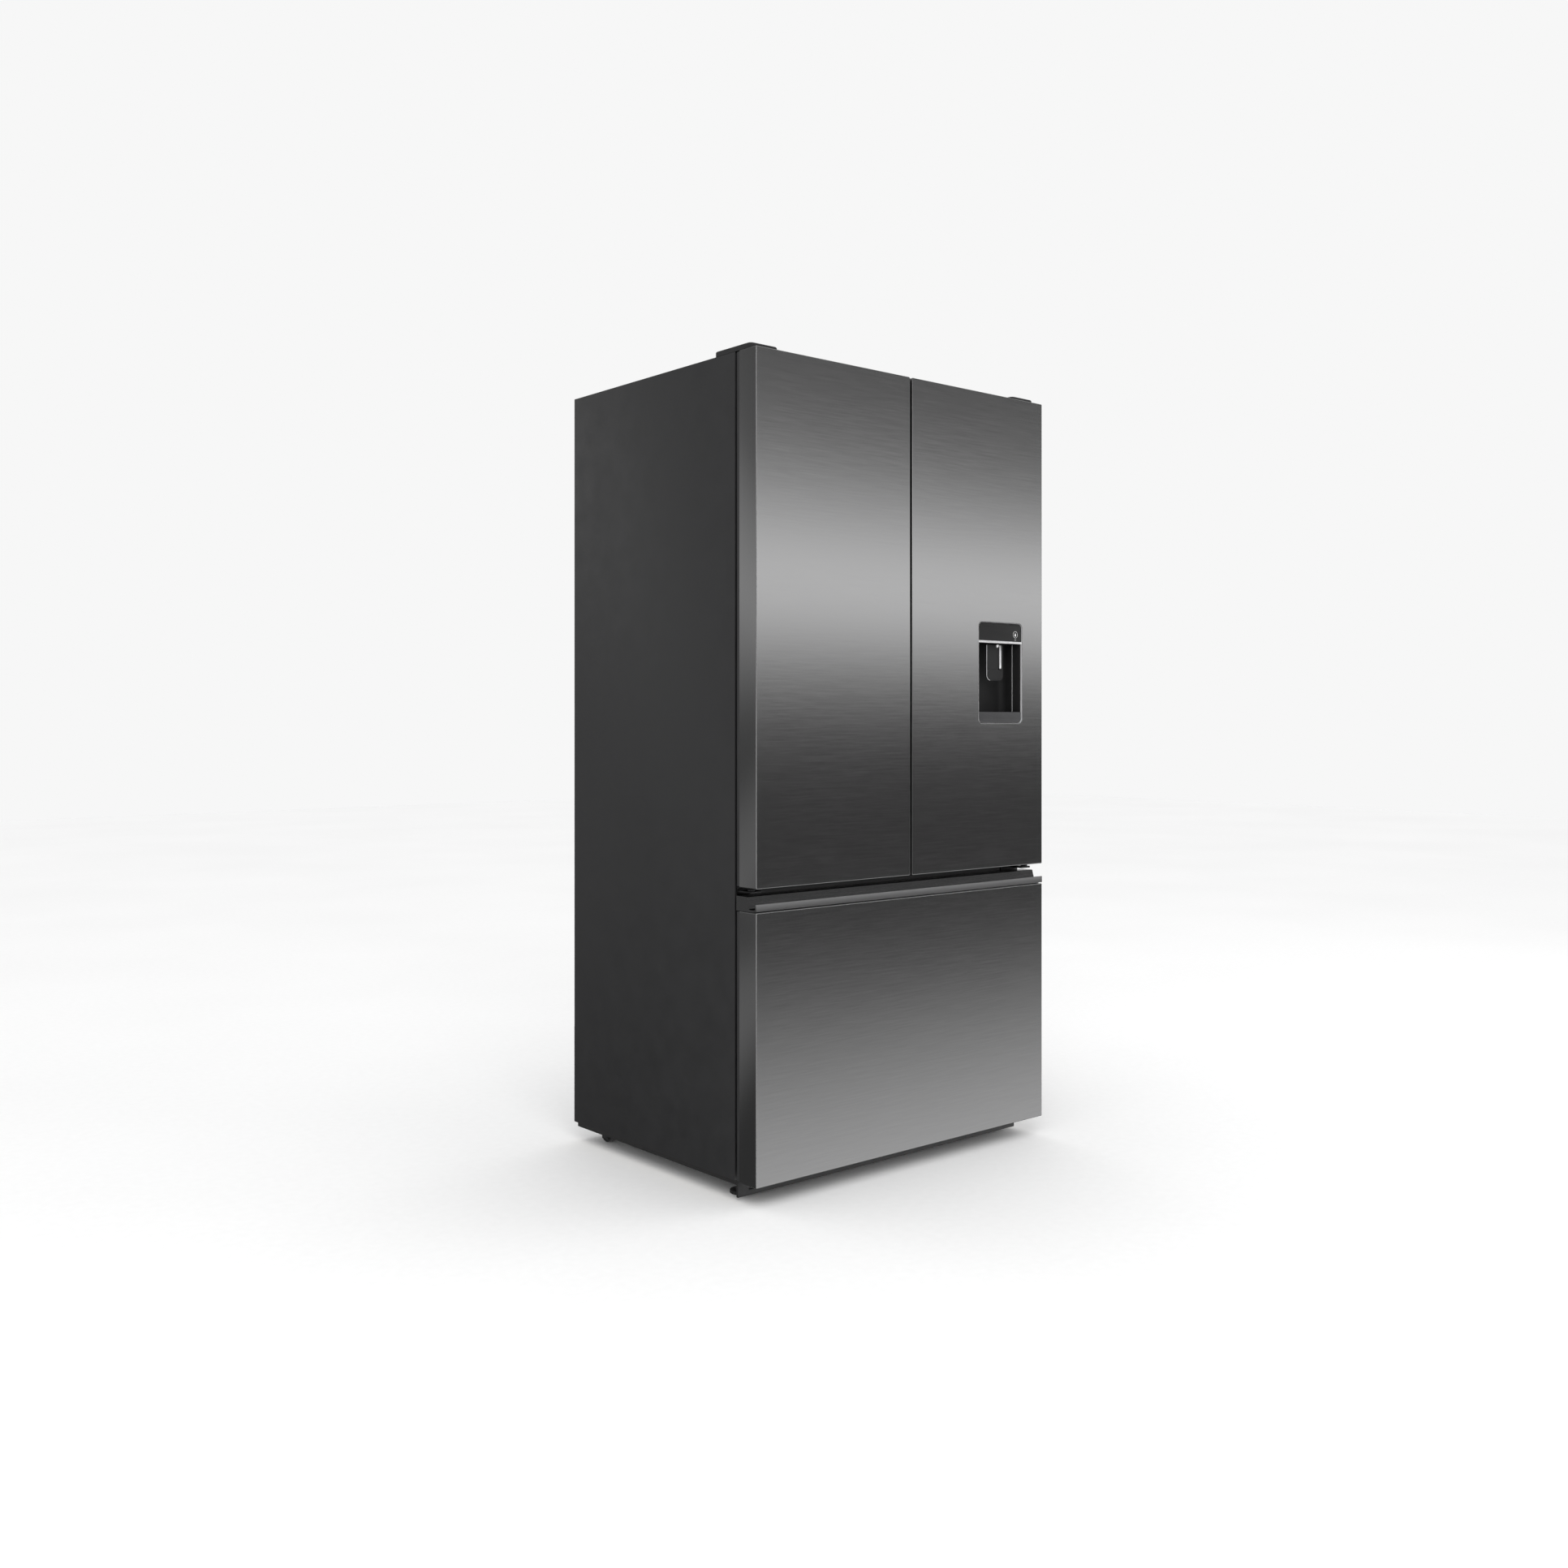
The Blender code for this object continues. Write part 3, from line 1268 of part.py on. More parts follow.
def make_drawer_rails(slide, middle):
    """On each side a fixed outer channel, a middle channel that travels half as far, and an inner bar."""
    for side, word in ((-1, "left"), (1, "right")):
        outer = channel(RAIL_OUTSIDE, RAIL_HALF_HEIGHT)
        inner = channel(RAIL_OUTSIDE - RAIL_SHEET - RUNNING, RAIL_HALF_HEIGHT - RAIL_SHEET - RUNNING)
        bar_outside = RAIL_OUTSIDE - 2 * (RAIL_SHEET + RUNNING)
        half = INNER_RAIL_HALF_HEIGHT
        bar = rectangle((INNER_RAIL_INSIDE, RAIL_LEVEL - half), (bar_outside, RAIL_LEVEL + half))
        prism_y("outer_rail_" + word, mirrored(outer, side), RAIL_FRONT, RAIL_REAR)
        carry(middle, prism_y("middle_rail_" + word, mirrored(inner, side), RAIL_FRONT, RAIL_REAR))
        carry(slide, prism_y("inner_rail_" + word, mirrored(bar, side), DOOR_REAR + GAP, RAIL_REAR))


def channel(outside, half):
    """A C section, open towards the middle of the refrigerator."""
    web = outside - RAIL_SHEET
    low, high = RAIL_LEVEL - half, RAIL_LEVEL + half
    return [
        (outside, low),
        (outside, high),
        (RAIL_INSIDE, high),
        (RAIL_INSIDE, high - RAIL_SHEET),
        (web, high - RAIL_SHEET),
        (web, low + RAIL_SHEET),
        (RAIL_INSIDE, low + RAIL_SHEET),
        (RAIL_INSIDE, low),
    ]


def mirrored(section, side):
    return [(side * x, z) for x, z in section]


def make_basket():
    """A deep tub whose rim rests on the inner rails."""
    y0, y1 = DOOR_REAR + 2 * LOOSE, STEP_FRONT - 2 * LOOSE
    bottom = FREEZER_FLOOR + BASKET_LIFT
    wide, rim_half = BASKET_HALF, RAIL_INSIDE - RUNNING
    low, high = (-wide, y0), (wide, y1)
    taper = BASKET_TAPER
    rim = rectangle((-rim_half, y0), (rim_half, y1))
    return lofted(
        "freezer_basket",
        [
            level(rectangle(low, high, taper), bottom),
            level(rectangle(low, high), BASKET_RIM_BOTTOM),
            level(rim, BASKET_RIM_BOTTOM),
            level(rim, BASKET_TOP),
            level(rectangle(low, high, BASKET_WALL), BASKET_TOP),
            level(rectangle(low, high, BASKET_WALL + taper), bottom + BASKET_WALL),
        ],
    )


def make_freezer_tray(slide):
    """A shallow tray that rests on the basket's rim and slides back over it."""
    half = RAIL_INSIDE - 4 * RUNNING
    front = CABINET_FRONT + FREEZER_TRAY_SETBACK
    bottom = BASKET_TOP + GAP
    tray = tub(
        "freezer_tray",
        (-half, front, bottom),
        (half, front + FREEZER_TRAY_LENGTH, bottom + FREEZER_TRAY_HEIGHT),
        BASKET_WALL,
        0.0,
    )
    carry(pivot("freezer_tray_slide", (0.0, front, bottom), slide), tray)


def make_drawer():
    slide = pivot("freezer_drawer_slide", (0.0, FACE, RAIL_LEVEL))
    middle = pivot("middle_rail_slide", (0.0, RAIL_FRONT, RAIL_LEVEL))
    low, high = drawer_outline()
    skin = tray_back("drawer_skin", low, high, FACE, FACE + SKIN_RETURN, SKIN, CORNER_RADIUS)
    inside = rounded(low, high, CORNER_RADIUS, SKIN + GAP)
    core = prism_y("drawer_liner", inside, FACE + SKIN + GAP, DOOR_REAR)
    gasket = frame_ring(
        "drawer_gasket",
        tuple(v + GASKET_INSET for v in low),
        (high[0] - GASKET_INSET, high[1] - DRAWER_GASKET_TOP_INSET),
        GASKET_WIDTH,
        DOOR_REAR + GAP,
        DOOR_REAR + GASKET_DEPTH,
    )
    carry(slide, skin, core, make_handle(), gasket, make_basket())
    make_drawer_rails(slide, middle)
    make_freezer_tray(slide)


# ---------------------------------------------------------------- the whole refrigerator

clear_scene()
make_cabinet_shell()
make_insulation()
make_liners()
make_back()
make_base_frame()
make_grille()
make_feet_and_rollers()
make_compressor()
make_condenser_coil()
make_condenser_fan()
make_evaporator()
make_duct_covers()
make_shelves()
make_crispers()
for hinge_side, hinge_word in ((-1, "left"), (1, "right")):
    make_top_hinge(hinge_side, hinge_word)
    make_middle_hinge(hinge_side, hinge_word)
make_left_door()
make_right_door()
make_drawer()
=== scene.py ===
# %% [markdown]
# # A french door refrigerator, finished piece by piece
#
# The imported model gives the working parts: their sizes, their places and how they move.
# This script gives them the surfaces of the real object. It is split into cells, and each
# step has a short note before it that says what the piece is, how it could be made, and why
# this way was chosen. All lengths are metres, X runs to the viewer's right, Y to the back
# and Z up.

# %% Load the working model
import json
import math

import bmesh
import bpy
import numpy as np
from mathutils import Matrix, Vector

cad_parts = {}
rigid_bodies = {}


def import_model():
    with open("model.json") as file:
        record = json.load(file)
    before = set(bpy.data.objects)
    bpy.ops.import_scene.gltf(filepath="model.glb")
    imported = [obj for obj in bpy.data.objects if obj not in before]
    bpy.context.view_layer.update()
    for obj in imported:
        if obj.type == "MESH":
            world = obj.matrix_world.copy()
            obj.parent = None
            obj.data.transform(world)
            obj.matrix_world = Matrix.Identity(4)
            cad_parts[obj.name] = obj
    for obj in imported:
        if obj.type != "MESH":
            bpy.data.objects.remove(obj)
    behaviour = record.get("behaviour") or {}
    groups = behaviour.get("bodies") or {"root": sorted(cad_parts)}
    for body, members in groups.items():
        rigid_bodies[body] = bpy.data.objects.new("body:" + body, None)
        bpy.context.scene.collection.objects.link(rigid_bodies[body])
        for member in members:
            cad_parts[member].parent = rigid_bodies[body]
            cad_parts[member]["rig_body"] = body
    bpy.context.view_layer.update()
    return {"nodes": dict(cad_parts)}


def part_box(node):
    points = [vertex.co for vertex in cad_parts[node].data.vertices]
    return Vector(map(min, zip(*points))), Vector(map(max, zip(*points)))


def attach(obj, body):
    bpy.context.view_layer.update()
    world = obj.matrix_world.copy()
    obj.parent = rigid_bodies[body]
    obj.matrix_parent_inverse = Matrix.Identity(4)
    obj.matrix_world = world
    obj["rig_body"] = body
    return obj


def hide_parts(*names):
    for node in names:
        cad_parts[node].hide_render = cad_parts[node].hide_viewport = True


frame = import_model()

# %% [markdown]
# ## The camera
#
# The refrigerator is seen from its left, a little over 40 degrees off square, with the lens
# at chest height and held level, so upright edges stay upright. Shifting the lens down keeps
# the horizon above the middle of the picture without tilting the camera, which would make
# the doors lean.

# %% Camera
CAMERA_PLACE = (-2.424, -2.756, 1.005)
CAMERA_TURN = 40.39
LENS = 34.85
LENS_SHIFT = -0.0399

camera_data = bpy.data.cameras.new("studio_camera")
camera_data.lens = LENS
camera_data.sensor_width = 36.0
camera_data.shift_y = LENS_SHIFT
camera = bpy.data.objects.new("studio_camera", camera_data)
camera.location = CAMERA_PLACE
camera.rotation_euler = (math.pi / 2, 0.0, math.radians(-CAMERA_TURN))
bpy.context.scene.collection.objects.link(camera)
bpy.context.scene.camera = camera

# %% [markdown]
# ## The studio
#
# Dark stainless steel has almost no colour of its own: what the eye sees is the room in it.
# The bands of light and shade on such doors come from a bright band a little above eye level,
# a darker ceiling, a dark far wall near the floor and a pale floor close by. They could be
# painted on the steel, but then they would stay put when a door swings. Here the room itself
# has them: the sky is one pale tone for the camera and for soft light, and a ladder of tones
# by height for anything shiny. The ladder is a formula: each band has a tone, a height and a
# reach of its own, so moving a band of light on the doors is a change to one named value.

# %% Tones of the room by height
# A height here is how far up a wall facing the doors, for each metre between it and them.
FAR_WALL_TONE = 0.11
WINDOW_TONE = 2.55
WINDOW_HEIGHT = 0.118
WINDOW_REACH_DOWN = 0.062
WINDOW_REACH_UP = 0.080
WINDOW_FALL = 1.7
FLOOR_TONE = 1.6
FLOOR_START = -0.165
FLOOR_REACH = 0.305
NEAR_FLOOR_START = -0.6
NEAR_FLOOR_REACH = 0.5
NEAR_FLOOR_LOSS = 0.85
CEILING_TONE = 0.14
CEILING_START = 0.10
CEILING_REACH = 0.22
OVERHEAD_TONE = 0.30
HIGHEST_STEP = 1.2
ROOM_STEPS = 31
STEP_CROWDING = 4.0


def rise(value):
    """A smooth step: 0 below 0, 1 above 1, and 3v^2 - 2v^3 between."""
    value = np.clip(value, 0, 1)
    return value * value * (3 - 2 * value)


def room_tone(height):
    """A dark far wall, a bright window band on it, a pale floor below and a dim ceiling above.

    The band falls off as exp(-(distance / reach)^fall), with its own reach down and up.
    """
    from_band = height - WINDOW_HEIGHT
    reach = np.where(from_band < 0, WINDOW_REACH_DOWN, WINDOW_REACH_UP)
    window_band = WINDOW_TONE * np.exp(-(np.abs(from_band) / reach) ** WINDOW_FALL)
    near_floor = 1 - NEAR_FLOOR_LOSS * rise((NEAR_FLOOR_START - height) / NEAR_FLOOR_REACH)
    pale_floor = FLOOR_TONE * rise((FLOOR_START - height) / FLOOR_REACH) * near_floor
    ceiling = CEILING_TONE * rise((height - CEILING_START) / CEILING_REACH)
    overhead = OVERHEAD_TONE * (np.maximum(height, 0) / HIGHEST_STEP) ** 2
    return FAR_WALL_TONE + window_band + pale_floor + ceiling + overhead


# The steps crowd together near eye level, where the tones change fastest: a sinh spacing.
step_heights = np.sinh(STEP_CROWDING * np.linspace(-1, 1, ROOM_STEPS)) / math.sinh(STEP_CROWDING)
step_heights = HIGHEST_STEP * step_heights
ROOM_TONES = [(float(height), float(tone)) for height, tone in zip(step_heights, room_tone(step_heights))]
# Behind and to the left the room is a dim corner with a dark floor: each height and its tone.
CORNER_TONES = (
    (-1.2, 0.15),
    (-0.39, 0.10),
    (-0.34, 0.22),
    (-0.25, 0.45),
    (-0.17, 0.38),
    (-0.1, 0.14),
    (-0.03, 0.20),
    (0.06, 0.66),
    (0.12, 0.95),
    (0.23, 0.62),
    (0.32, 0.30),
    (0.60, 0.20),
    (1.2, 0.60),
)
CORNER_EDGE = 0.7
LEAST_FORWARD = 0.15
PALE_ROOM = 0.93
SOFT_LIGHT = 1.04


def sky_node(tree, kind, **settings):
    node = tree.nodes.new(kind)
    for name, value in settings.items():
        setattr(node, name, value)
    return node


world = bpy.data.worlds.new("studio_room")
world.use_nodes = True
bpy.context.scene.world = world
tree = world.node_tree
tree.nodes.clear()
direction = sky_node(tree, "ShaderNodeTexCoord")
parts = sky_node(tree, "ShaderNodeSeparateXYZ")
spread = sky_node(tree, "ShaderNodeMapRange")
spread.inputs["From Min"].default_value = -HIGHEST_STEP
spread.inputs["From Max"].default_value = HIGHEST_STEP
brightest = max(tone for _, tone in ROOM_TONES)


def ladder_of(tones):
    """A colour ramp over Z / |Y| of the direction, from the lowest step to the highest."""
    ladder = sky_node(tree, "ShaderNodeValToRGB")
    while len(ladder.color_ramp.elements) < len(tones):
        ladder.color_ramp.elements.new(0.5)
    for step, (height, tone) in zip(ladder.color_ramp.elements, tones):
        step.position = (height / HIGHEST_STEP + 1) / 2
        step.color = (tone / brightest,) * 3 + (1.0,)
    tree.links.new(spread.outputs["Result"], ladder.inputs["Fac"])
    return ladder.outputs["Color"]


# Up a wall that faces the doors the height is Z over the distance |Y|, kept off zero.
forward = sky_node(tree, "ShaderNodeMath", operation="ABSOLUTE")
forward_enough = sky_node(tree, "ShaderNodeMath", operation="MAXIMUM")
forward_enough.inputs[1].default_value = LEAST_FORWARD
height_on_wall = sky_node(tree, "ShaderNodeMath", operation="DIVIDE")
# X less Y is greatest ahead and to the right, and least in the corner behind on the left.
across_room = sky_node(tree, "ShaderNodeMath", operation="SUBTRACT")
to_corner = sky_node(tree, "ShaderNodeMapRange", interpolation_type="SMOOTHSTEP")
to_corner.inputs["From Min"].default_value = CORNER_EDGE
to_corner.inputs["From Max"].default_value = -CORNER_EDGE
room_or_corner = sky_node(tree, "ShaderNodeMix", data_type="RGBA")
path = sky_node(tree, "ShaderNodeLightPath")
for_shine = sky_node(tree, "ShaderNodeBackground")
for_shine.inputs["Strength"].default_value = brightest
for_camera = sky_node(tree, "ShaderNodeBackground")
for_camera.inputs["Color"].default_value = (1.0, 1.0, 1.0, 1.0)
for_camera.inputs["Strength"].default_value = PALE_ROOM
for_diffuse = sky_node(tree, "ShaderNodeBackground")
for_diffuse.inputs["Color"].default_value = (1.0, 1.0, 1.0, 1.0)
for_diffuse.inputs["Strength"].default_value = SOFT_LIGHT
shine_or_soft = sky_node(tree, "ShaderNodeMixShader")
seen_or_light = sky_node(tree, "ShaderNodeMixShader")
output = sky_node(tree, "ShaderNodeOutputWorld")
for start, end in (
    (direction.outputs["Generated"], parts.inputs[0]),
    (parts.outputs["Y"], forward.inputs[0]),
    (forward.outputs[0], forward_enough.inputs[0]),
    (parts.outputs["Z"], height_on_wall.inputs[0]),
    (forward_enough.outputs[0], height_on_wall.inputs[1]),
    (height_on_wall.outputs[0], spread.inputs["Value"]),
    (parts.outputs["X"], across_room.inputs[0]),
    (parts.outputs["Y"], across_room.inputs[1]),
    (across_room.outputs[0], to_corner.inputs["Value"]),
    (to_corner.outputs["Result"], room_or_corner.inputs["Factor"]),
    (ladder_of(ROOM_TONES), room_or_corner.inputs["A"]),
    (ladder_of(CORNER_TONES), room_or_corner.inputs["B"]),
    (room_or_corner.outputs["Result"], for_shine.inputs["Color"]),
    (path.outputs["Is Glossy Ray"], shine_or_soft.inputs["Fac"]),
    (for_diffuse.outputs[0], shine_or_soft.inputs[1]),
    (for_shine.outputs[0], shine_or_soft.inputs[2]),
    (path.outputs["Is Camera Ray"], seen_or_light.inputs["Fac"]),
    (shine_or_soft.outputs[0], seen_or_light.inputs[1]),
    (for_camera.outputs[0], seen_or_light.inputs[2]),
    (seen_or_light.outputs[0], output.inputs["Surface"]),
):
    tree.links.new(start, end)
bpy.context.scene.view_settings.view_transform = "Standard"
print("room tones from", ROOM_TONES[0][0], "to", ROOM_TONES[-1][0], "up the wall")

# %% [markdown]
# ## Soft lamps
#
# Two large soft panels give the plastics and the inside of the cabinet some direction: a key
# from the upper left and a weak fill from the right. They are hidden from shiny rays, so the
# steel keeps the clean ladder of tones.

# %% Lamps


def soft_lamp(name, place, target, size, watts):
    """A square lamp turned so that it faces its target."""
    data = bpy.data.lights.new(name, "AREA")
    data.size = size
    data.energy = watts
    lamp = bpy.data.objects.new(name, data)
    lamp.location = place
    aim = np.array(target, float) - np.array(place, float)
    lamp.rotation_euler = (
        math.atan2(math.hypot(aim[0], aim[1]), -aim[2]),
        0.0,
        math.atan2(aim[0], -aim[1]) + math.pi,
    )
    lamp.visible_glossy = False
    bpy.context.scene.collection.objects.link(lamp)
    return lamp


soft_lamp("key_lamp", (-2.2, -3.2, 3.4), (0, 0, 1.0), 2.2, 55)
soft_lamp("fill_lamp", (3.4, -2.4, 2.2), (0, 0, 1.0), 2.6, 22)
print("lamps: key and fill")

# %% [markdown]
# ## From arrays of points to meshes
#
# Almost every piece here is a row of closed rings, and each ring has the same number of
# points. Joining ring to ring gives the walls, and two flat faces close the ends. Edit-mode
# tools could do the same by hand; arrays keep every size in one place and give the same mesh
# each time.

# %% Rings of points


def eased(outline, radius, steps=6):
    """A closed outline with an arc at each corner.

    Each arc starts and ends one tangent length from the corner, and its points are the
    weighted mean of start, corner and end, with the sine of the half angle as the corner's
    weight, which is the exact circle.
    """
    corner = np.asarray(outline, float)
    back = np.roll(corner, 1, axis=0) - corner
    ahead = np.roll(corner, -1, axis=0) - corner
    back /= np.linalg.norm(back, axis=1, keepdims=True)
    ahead /= np.linalg.norm(ahead, axis=1, keepdims=True)
    half = np.arccos(np.clip((back * ahead).sum(axis=1), -1, 1)) / 2
    reach = (np.broadcast_to(radius, len(corner)) / np.tan(half))[:, None]
    start = (corner + back * reach)[:, None]
    end = (corner + ahead * reach)[:, None]
    t = np.linspace(0, 1, steps + 1)[None, :, None]
    weight = np.sin(half)[:, None, None]
    near, middle, far = (1 - t) ** 2, 2 * weight * t * (1 - t), t**2
    return ((near * start + middle * corner[:, None] + far * end) / (near + middle + far)).reshape(-1, 2)


def rectangle(low, high, inset=0.0):
    (a, b), (c, d) = low, high
    a, b, c, d = a + inset, b + inset, c - inset, d - inset
    return np.array([(a, b), (c, b), (c, d), (a, d)])


def eased_rectangle(low, high, radius, inset=0.0, steps=6):
    """A rectangle moved inwards by inset, whose corner arcs keep the same centres."""
    smaller = np.maximum(np.broadcast_to(radius, 4) - inset, 0.0002)
    return eased(rectangle(low, high, inset), smaller, steps)


def standing(outline, y):
    """Outline points (x, z) stood up at depth y."""
    return np.column_stack([outline[:, 0], np.full(len(outline), y), outline[:, 1]])


def lying(outline, z):
    """Outline points (x, y) laid flat at height z."""
    return np.column_stack([outline, np.full(len(outline), z)])


def across(outline, x):
    """Outline points (y, z) set across the object at x."""
    return np.column_stack([np.full(len(outline), x), outline])


# %% Rings into a piece


def piece_from(name, mesh, sharp=32.0):
    """Merges doubled points, turns every face outwards and links the mesh as an object."""
    bm = bmesh.new()
    bm.from_mesh(mesh)
    bmesh.ops.remove_doubles(bm, verts=bm.verts, dist=2e-6)
    bmesh.ops.recalc_face_normals(bm, faces=bm.faces)
    bm.to_mesh(mesh)
    bm.free()
    mesh.shade_smooth()
    mesh.set_sharp_from_angle(angle=math.radians(sharp))
    piece = bpy.data.objects.new(name, mesh)
    bpy.context.scene.collection.objects.link(piece)
    return piece


def loft(name, rings, closed=False, sharp=32.0):
    """Walls between each ring and the next; the ends are flat faces, or meet if closed."""
    rings = np.asarray(rings, float)
    rows, columns = rings.shape[:2]
    row = np.arange(rows if closed else rows - 1)[:, None] * columns
    next_row = (row + columns) % (rows * columns)
    column = np.arange(columns)[None, :]
    next_column = (column + 1) % columns
    walls = np.stack([row + column, row + next_column, next_row + next_column, next_row + column], axis=-1)
    faces = walls.reshape(-1, 4).tolist()
    if not closed:
        faces.append(list(range(columns)))
        faces.append(list(range((rows - 1) * columns, rows * columns)))
    mesh = bpy.data.meshes.new(name)
    mesh.from_pydata(rings.reshape(-1, 3).tolist(), [], faces)
    return piece_from(name, mesh, sharp)


def bar(name, place, outline, ends, ease=0.0):
    """A straight bar: one outline at both ends, each end drawn in by ease to soften it."""
    start, end = ends
    middle = outline.mean(axis=0)
    shrink = 1 - 2 * ease / np.ptp(outline, axis=0).max()
    small = middle + (outline - middle) * shrink
    if not ease:
        return loft(name, [place(outline, start), place(outline, end)])
    side = math.copysign(ease, end - start)
    return loft(
        name,
        [place(small, start), place(outline, start + side), place(outline, end - side), place(small, end)],
    )


def block(name, low, high, radius):
    """A box with round upright edges and a softened top and bottom."""
    plan_low, plan_high = low[:2], high[:2]
    turn = np.linspace(0, math.pi / 2, 4)
    insets = radius * (1 - np.sin(turn))
    rises = radius * (1 - np.cos(turn))
    lower = [
        lying(eased_rectangle(plan_low, plan_high, radius, i, 4), low[2] + r)
        for i, r in zip(insets, rises)
    ]
    upper = [
        lying(eased_rectangle(plan_low, plan_high, radius, i, 4), high[2] - r)
        for i, r in zip(insets[::-1], rises[::-1])
    ]
    return loft(name, lower + upper)


def turned(name, profile, centre, axis="z", sides=32):
    """A round piece: radius and height pairs swung once about an axis through centre."""
    angle = np.linspace(0, 2 * math.pi, sides, endpoint=False)
    circle = np.column_stack([np.cos(angle), np.sin(angle)])
    place = {"z": lying, "y": standing, "x": across}[axis]
    return loft(name, [place(np.array(centre) + r * circle, h) for r, h in profile])


# %% Tubes


def bent(corners, radius, steps=6):
    """An open route with each corner replaced by a quadratic curve between its two neighbours."""
    corner = np.array(corners)
    back = corner[:-2] - corner[1:-1]
    ahead = corner[2:] - corner[1:-1]
    back /= np.linalg.norm(back, axis=1, keepdims=True)
    ahead /= np.linalg.norm(ahead, axis=1, keepdims=True)
    t = np.linspace(0, 1, steps + 1)[None, :, None]
    start, end = (corner[1:-1] + radius * back)[:, None], (corner[1:-1] + radius * ahead)[:, None]
    bends = (1 - t) ** 2 * start + 2 * t * (1 - t) * corner[1:-1, None] + t**2 * end
    return np.concatenate([corner[:1], bends.reshape(-1, 3), corner[-1:]])


def tube(name, route, radius, sides=3):
    """A round tube along a route, made by a curve's own bevel and turned into a mesh."""
    curve = bpy.data.curves.new(name, "CURVE")
    curve.dimensions = "3D"
    curve.bevel_depth = radius
    curve.bevel_resolution = sides
    curve.use_fill_caps = True
    spline = curve.splines.new("POLY")
    spline.points.add(len(route) - 1)
    spline.points.foreach_set("co", np.column_stack([route, np.ones(len(route))]).ravel())
    holder = bpy.data.objects.new(name + "_route", curve)
    mesh = bpy.data.meshes.new_from_object(holder)
    mesh.name = name
    bpy.data.objects.remove(holder)
    return piece_from(name, mesh)


# %% [markdown]
# ## Softened copies of working parts
#
# Pressed brackets, rails and covers already have the right shape in the working model, but
# their edges are perfectly sharp, and a real edge always catches a thin line of light. A copy
# of the part has its triangles merged into flat faces, and a Bevel modifier rounds its edges.

# %% Softened copy


def softened(node, width, steps=2):
    """A copy of a working part with each edge sharper than 30 degrees rounded by width."""
    mesh = frame["nodes"][node].data.copy()
    mesh.name = node + "_softened"
    mesh.materials.clear()
    bm = bmesh.new()
    bm.from_mesh(mesh)
    bmesh.ops.remove_doubles(bm, verts=bm.verts, dist=2e-6)
    bmesh.ops.dissolve_limit(bm, angle_limit=math.radians(1), verts=bm.verts, edges=bm.edges)
    bm.to_mesh(mesh)
    bm.free()
    mesh.shade_smooth()
    piece = bpy.data.objects.new(node + "_softened", mesh)
    bpy.context.scene.collection.objects.link(piece)
    edge = piece.modifiers.new("soft_edges", "BEVEL")
    edge.width = width
    edge.segments = steps
    edge.limit_method = "ANGLE"
    edge.angle_limit = math.radians(30)
    edge.harden_normals = True
    return piece


def fit(piece, finish, *nodes, body=None, slot=None):
    """Gives a piece its finish and sends it with a body. The nodes named are those it replaces."""
    piece.data.materials.clear()
    piece.data.materials.append(finish)
    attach(piece, body or frame["nodes"][nodes[0]]["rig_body"])
    if nodes:
        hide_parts(*nodes)
    return piece


def repaint(finish, *nodes):
    """A working part that stays as it is gets a better finish."""
    for node in nodes:
        materials = frame["nodes"][node].data.materials
        materials.clear()
        materials.append(finish)


# %% [markdown]
# ## Finishes
#
# A finish starts as a Principled shader with its even values on its own sockets. Then noise
# in the piece's own space breaks them up: a little tone, a little gloss and a little relief,
# each at the size the real surface has.

# %% Building blocks of a finish


def new_finish(name, colour, roughness, metallic=0.0, **settings):
    finish = bpy.data.materials.new(name)
    finish.use_nodes = True
    shader = finish.node_tree.nodes["Principled BSDF"]
    shader.inputs["Base Color"].default_value = (*colour, 1.0)
    shader.inputs["Roughness"].default_value = roughness
    shader.inputs["Metallic"].default_value = metallic
    for socket, value in settings.items():
        shader.inputs[socket.replace("_", " ")].default_value = value
    return finish


def grain(finish, size, stretch=(1, 1, 1), detail=3.0):
    """Noise whose marks are size metres across, drawn out along an axis by its stretch."""
    tree = finish.node_tree
    where = tree.nodes.new("ShaderNodeTexCoord")
    mapping = tree.nodes.new("ShaderNodeMapping")
    mapping.inputs["Scale"].default_value = [1 / (size * s) for s in stretch]
    noise = tree.nodes.new("ShaderNodeTexNoise")
    noise.inputs["Scale"].default_value = 1.0
    noise.inputs["Detail"].default_value = detail
    tree.links.new(where.outputs["Object"], mapping.inputs["Vector"])
    tree.links.new(mapping.outputs["Vector"], noise.inputs["Vector"])
    return noise.outputs["Fac"]


def levels(finish, value, low, high, darkest=0.35, lightest=0.65):
    """Stretches the middle of a noise value to run from low to high."""
    node = finish.node_tree.nodes.new("ShaderNodeMapRange")
    node.inputs["From Min"].default_value = darkest
    node.inputs["From Max"].default_value = lightest
    node.inputs["To Min"].default_value = low
    node.inputs["To Max"].default_value = high
    finish.node_tree.links.new(value, node.inputs["Value"])
    return node.outputs["Result"]


def mean_of(finish, one, other):
    node = finish.node_tree.nodes.new("ShaderNodeMath")
    node.operation = "MULTIPLY_ADD"
    node.inputs[1].default_value = 0.5
    half = finish.node_tree.nodes.new("ShaderNodeMath")
    half.operation = "MULTIPLY"
    half.inputs[1].default_value = 0.5
    finish.node_tree.links.new(one, node.inputs[0])
    finish.node_tree.links.new(other, half.inputs[0])
    finish.node_tree.links.new(half.outputs[0], node.inputs[2])
    return node.outputs[0]


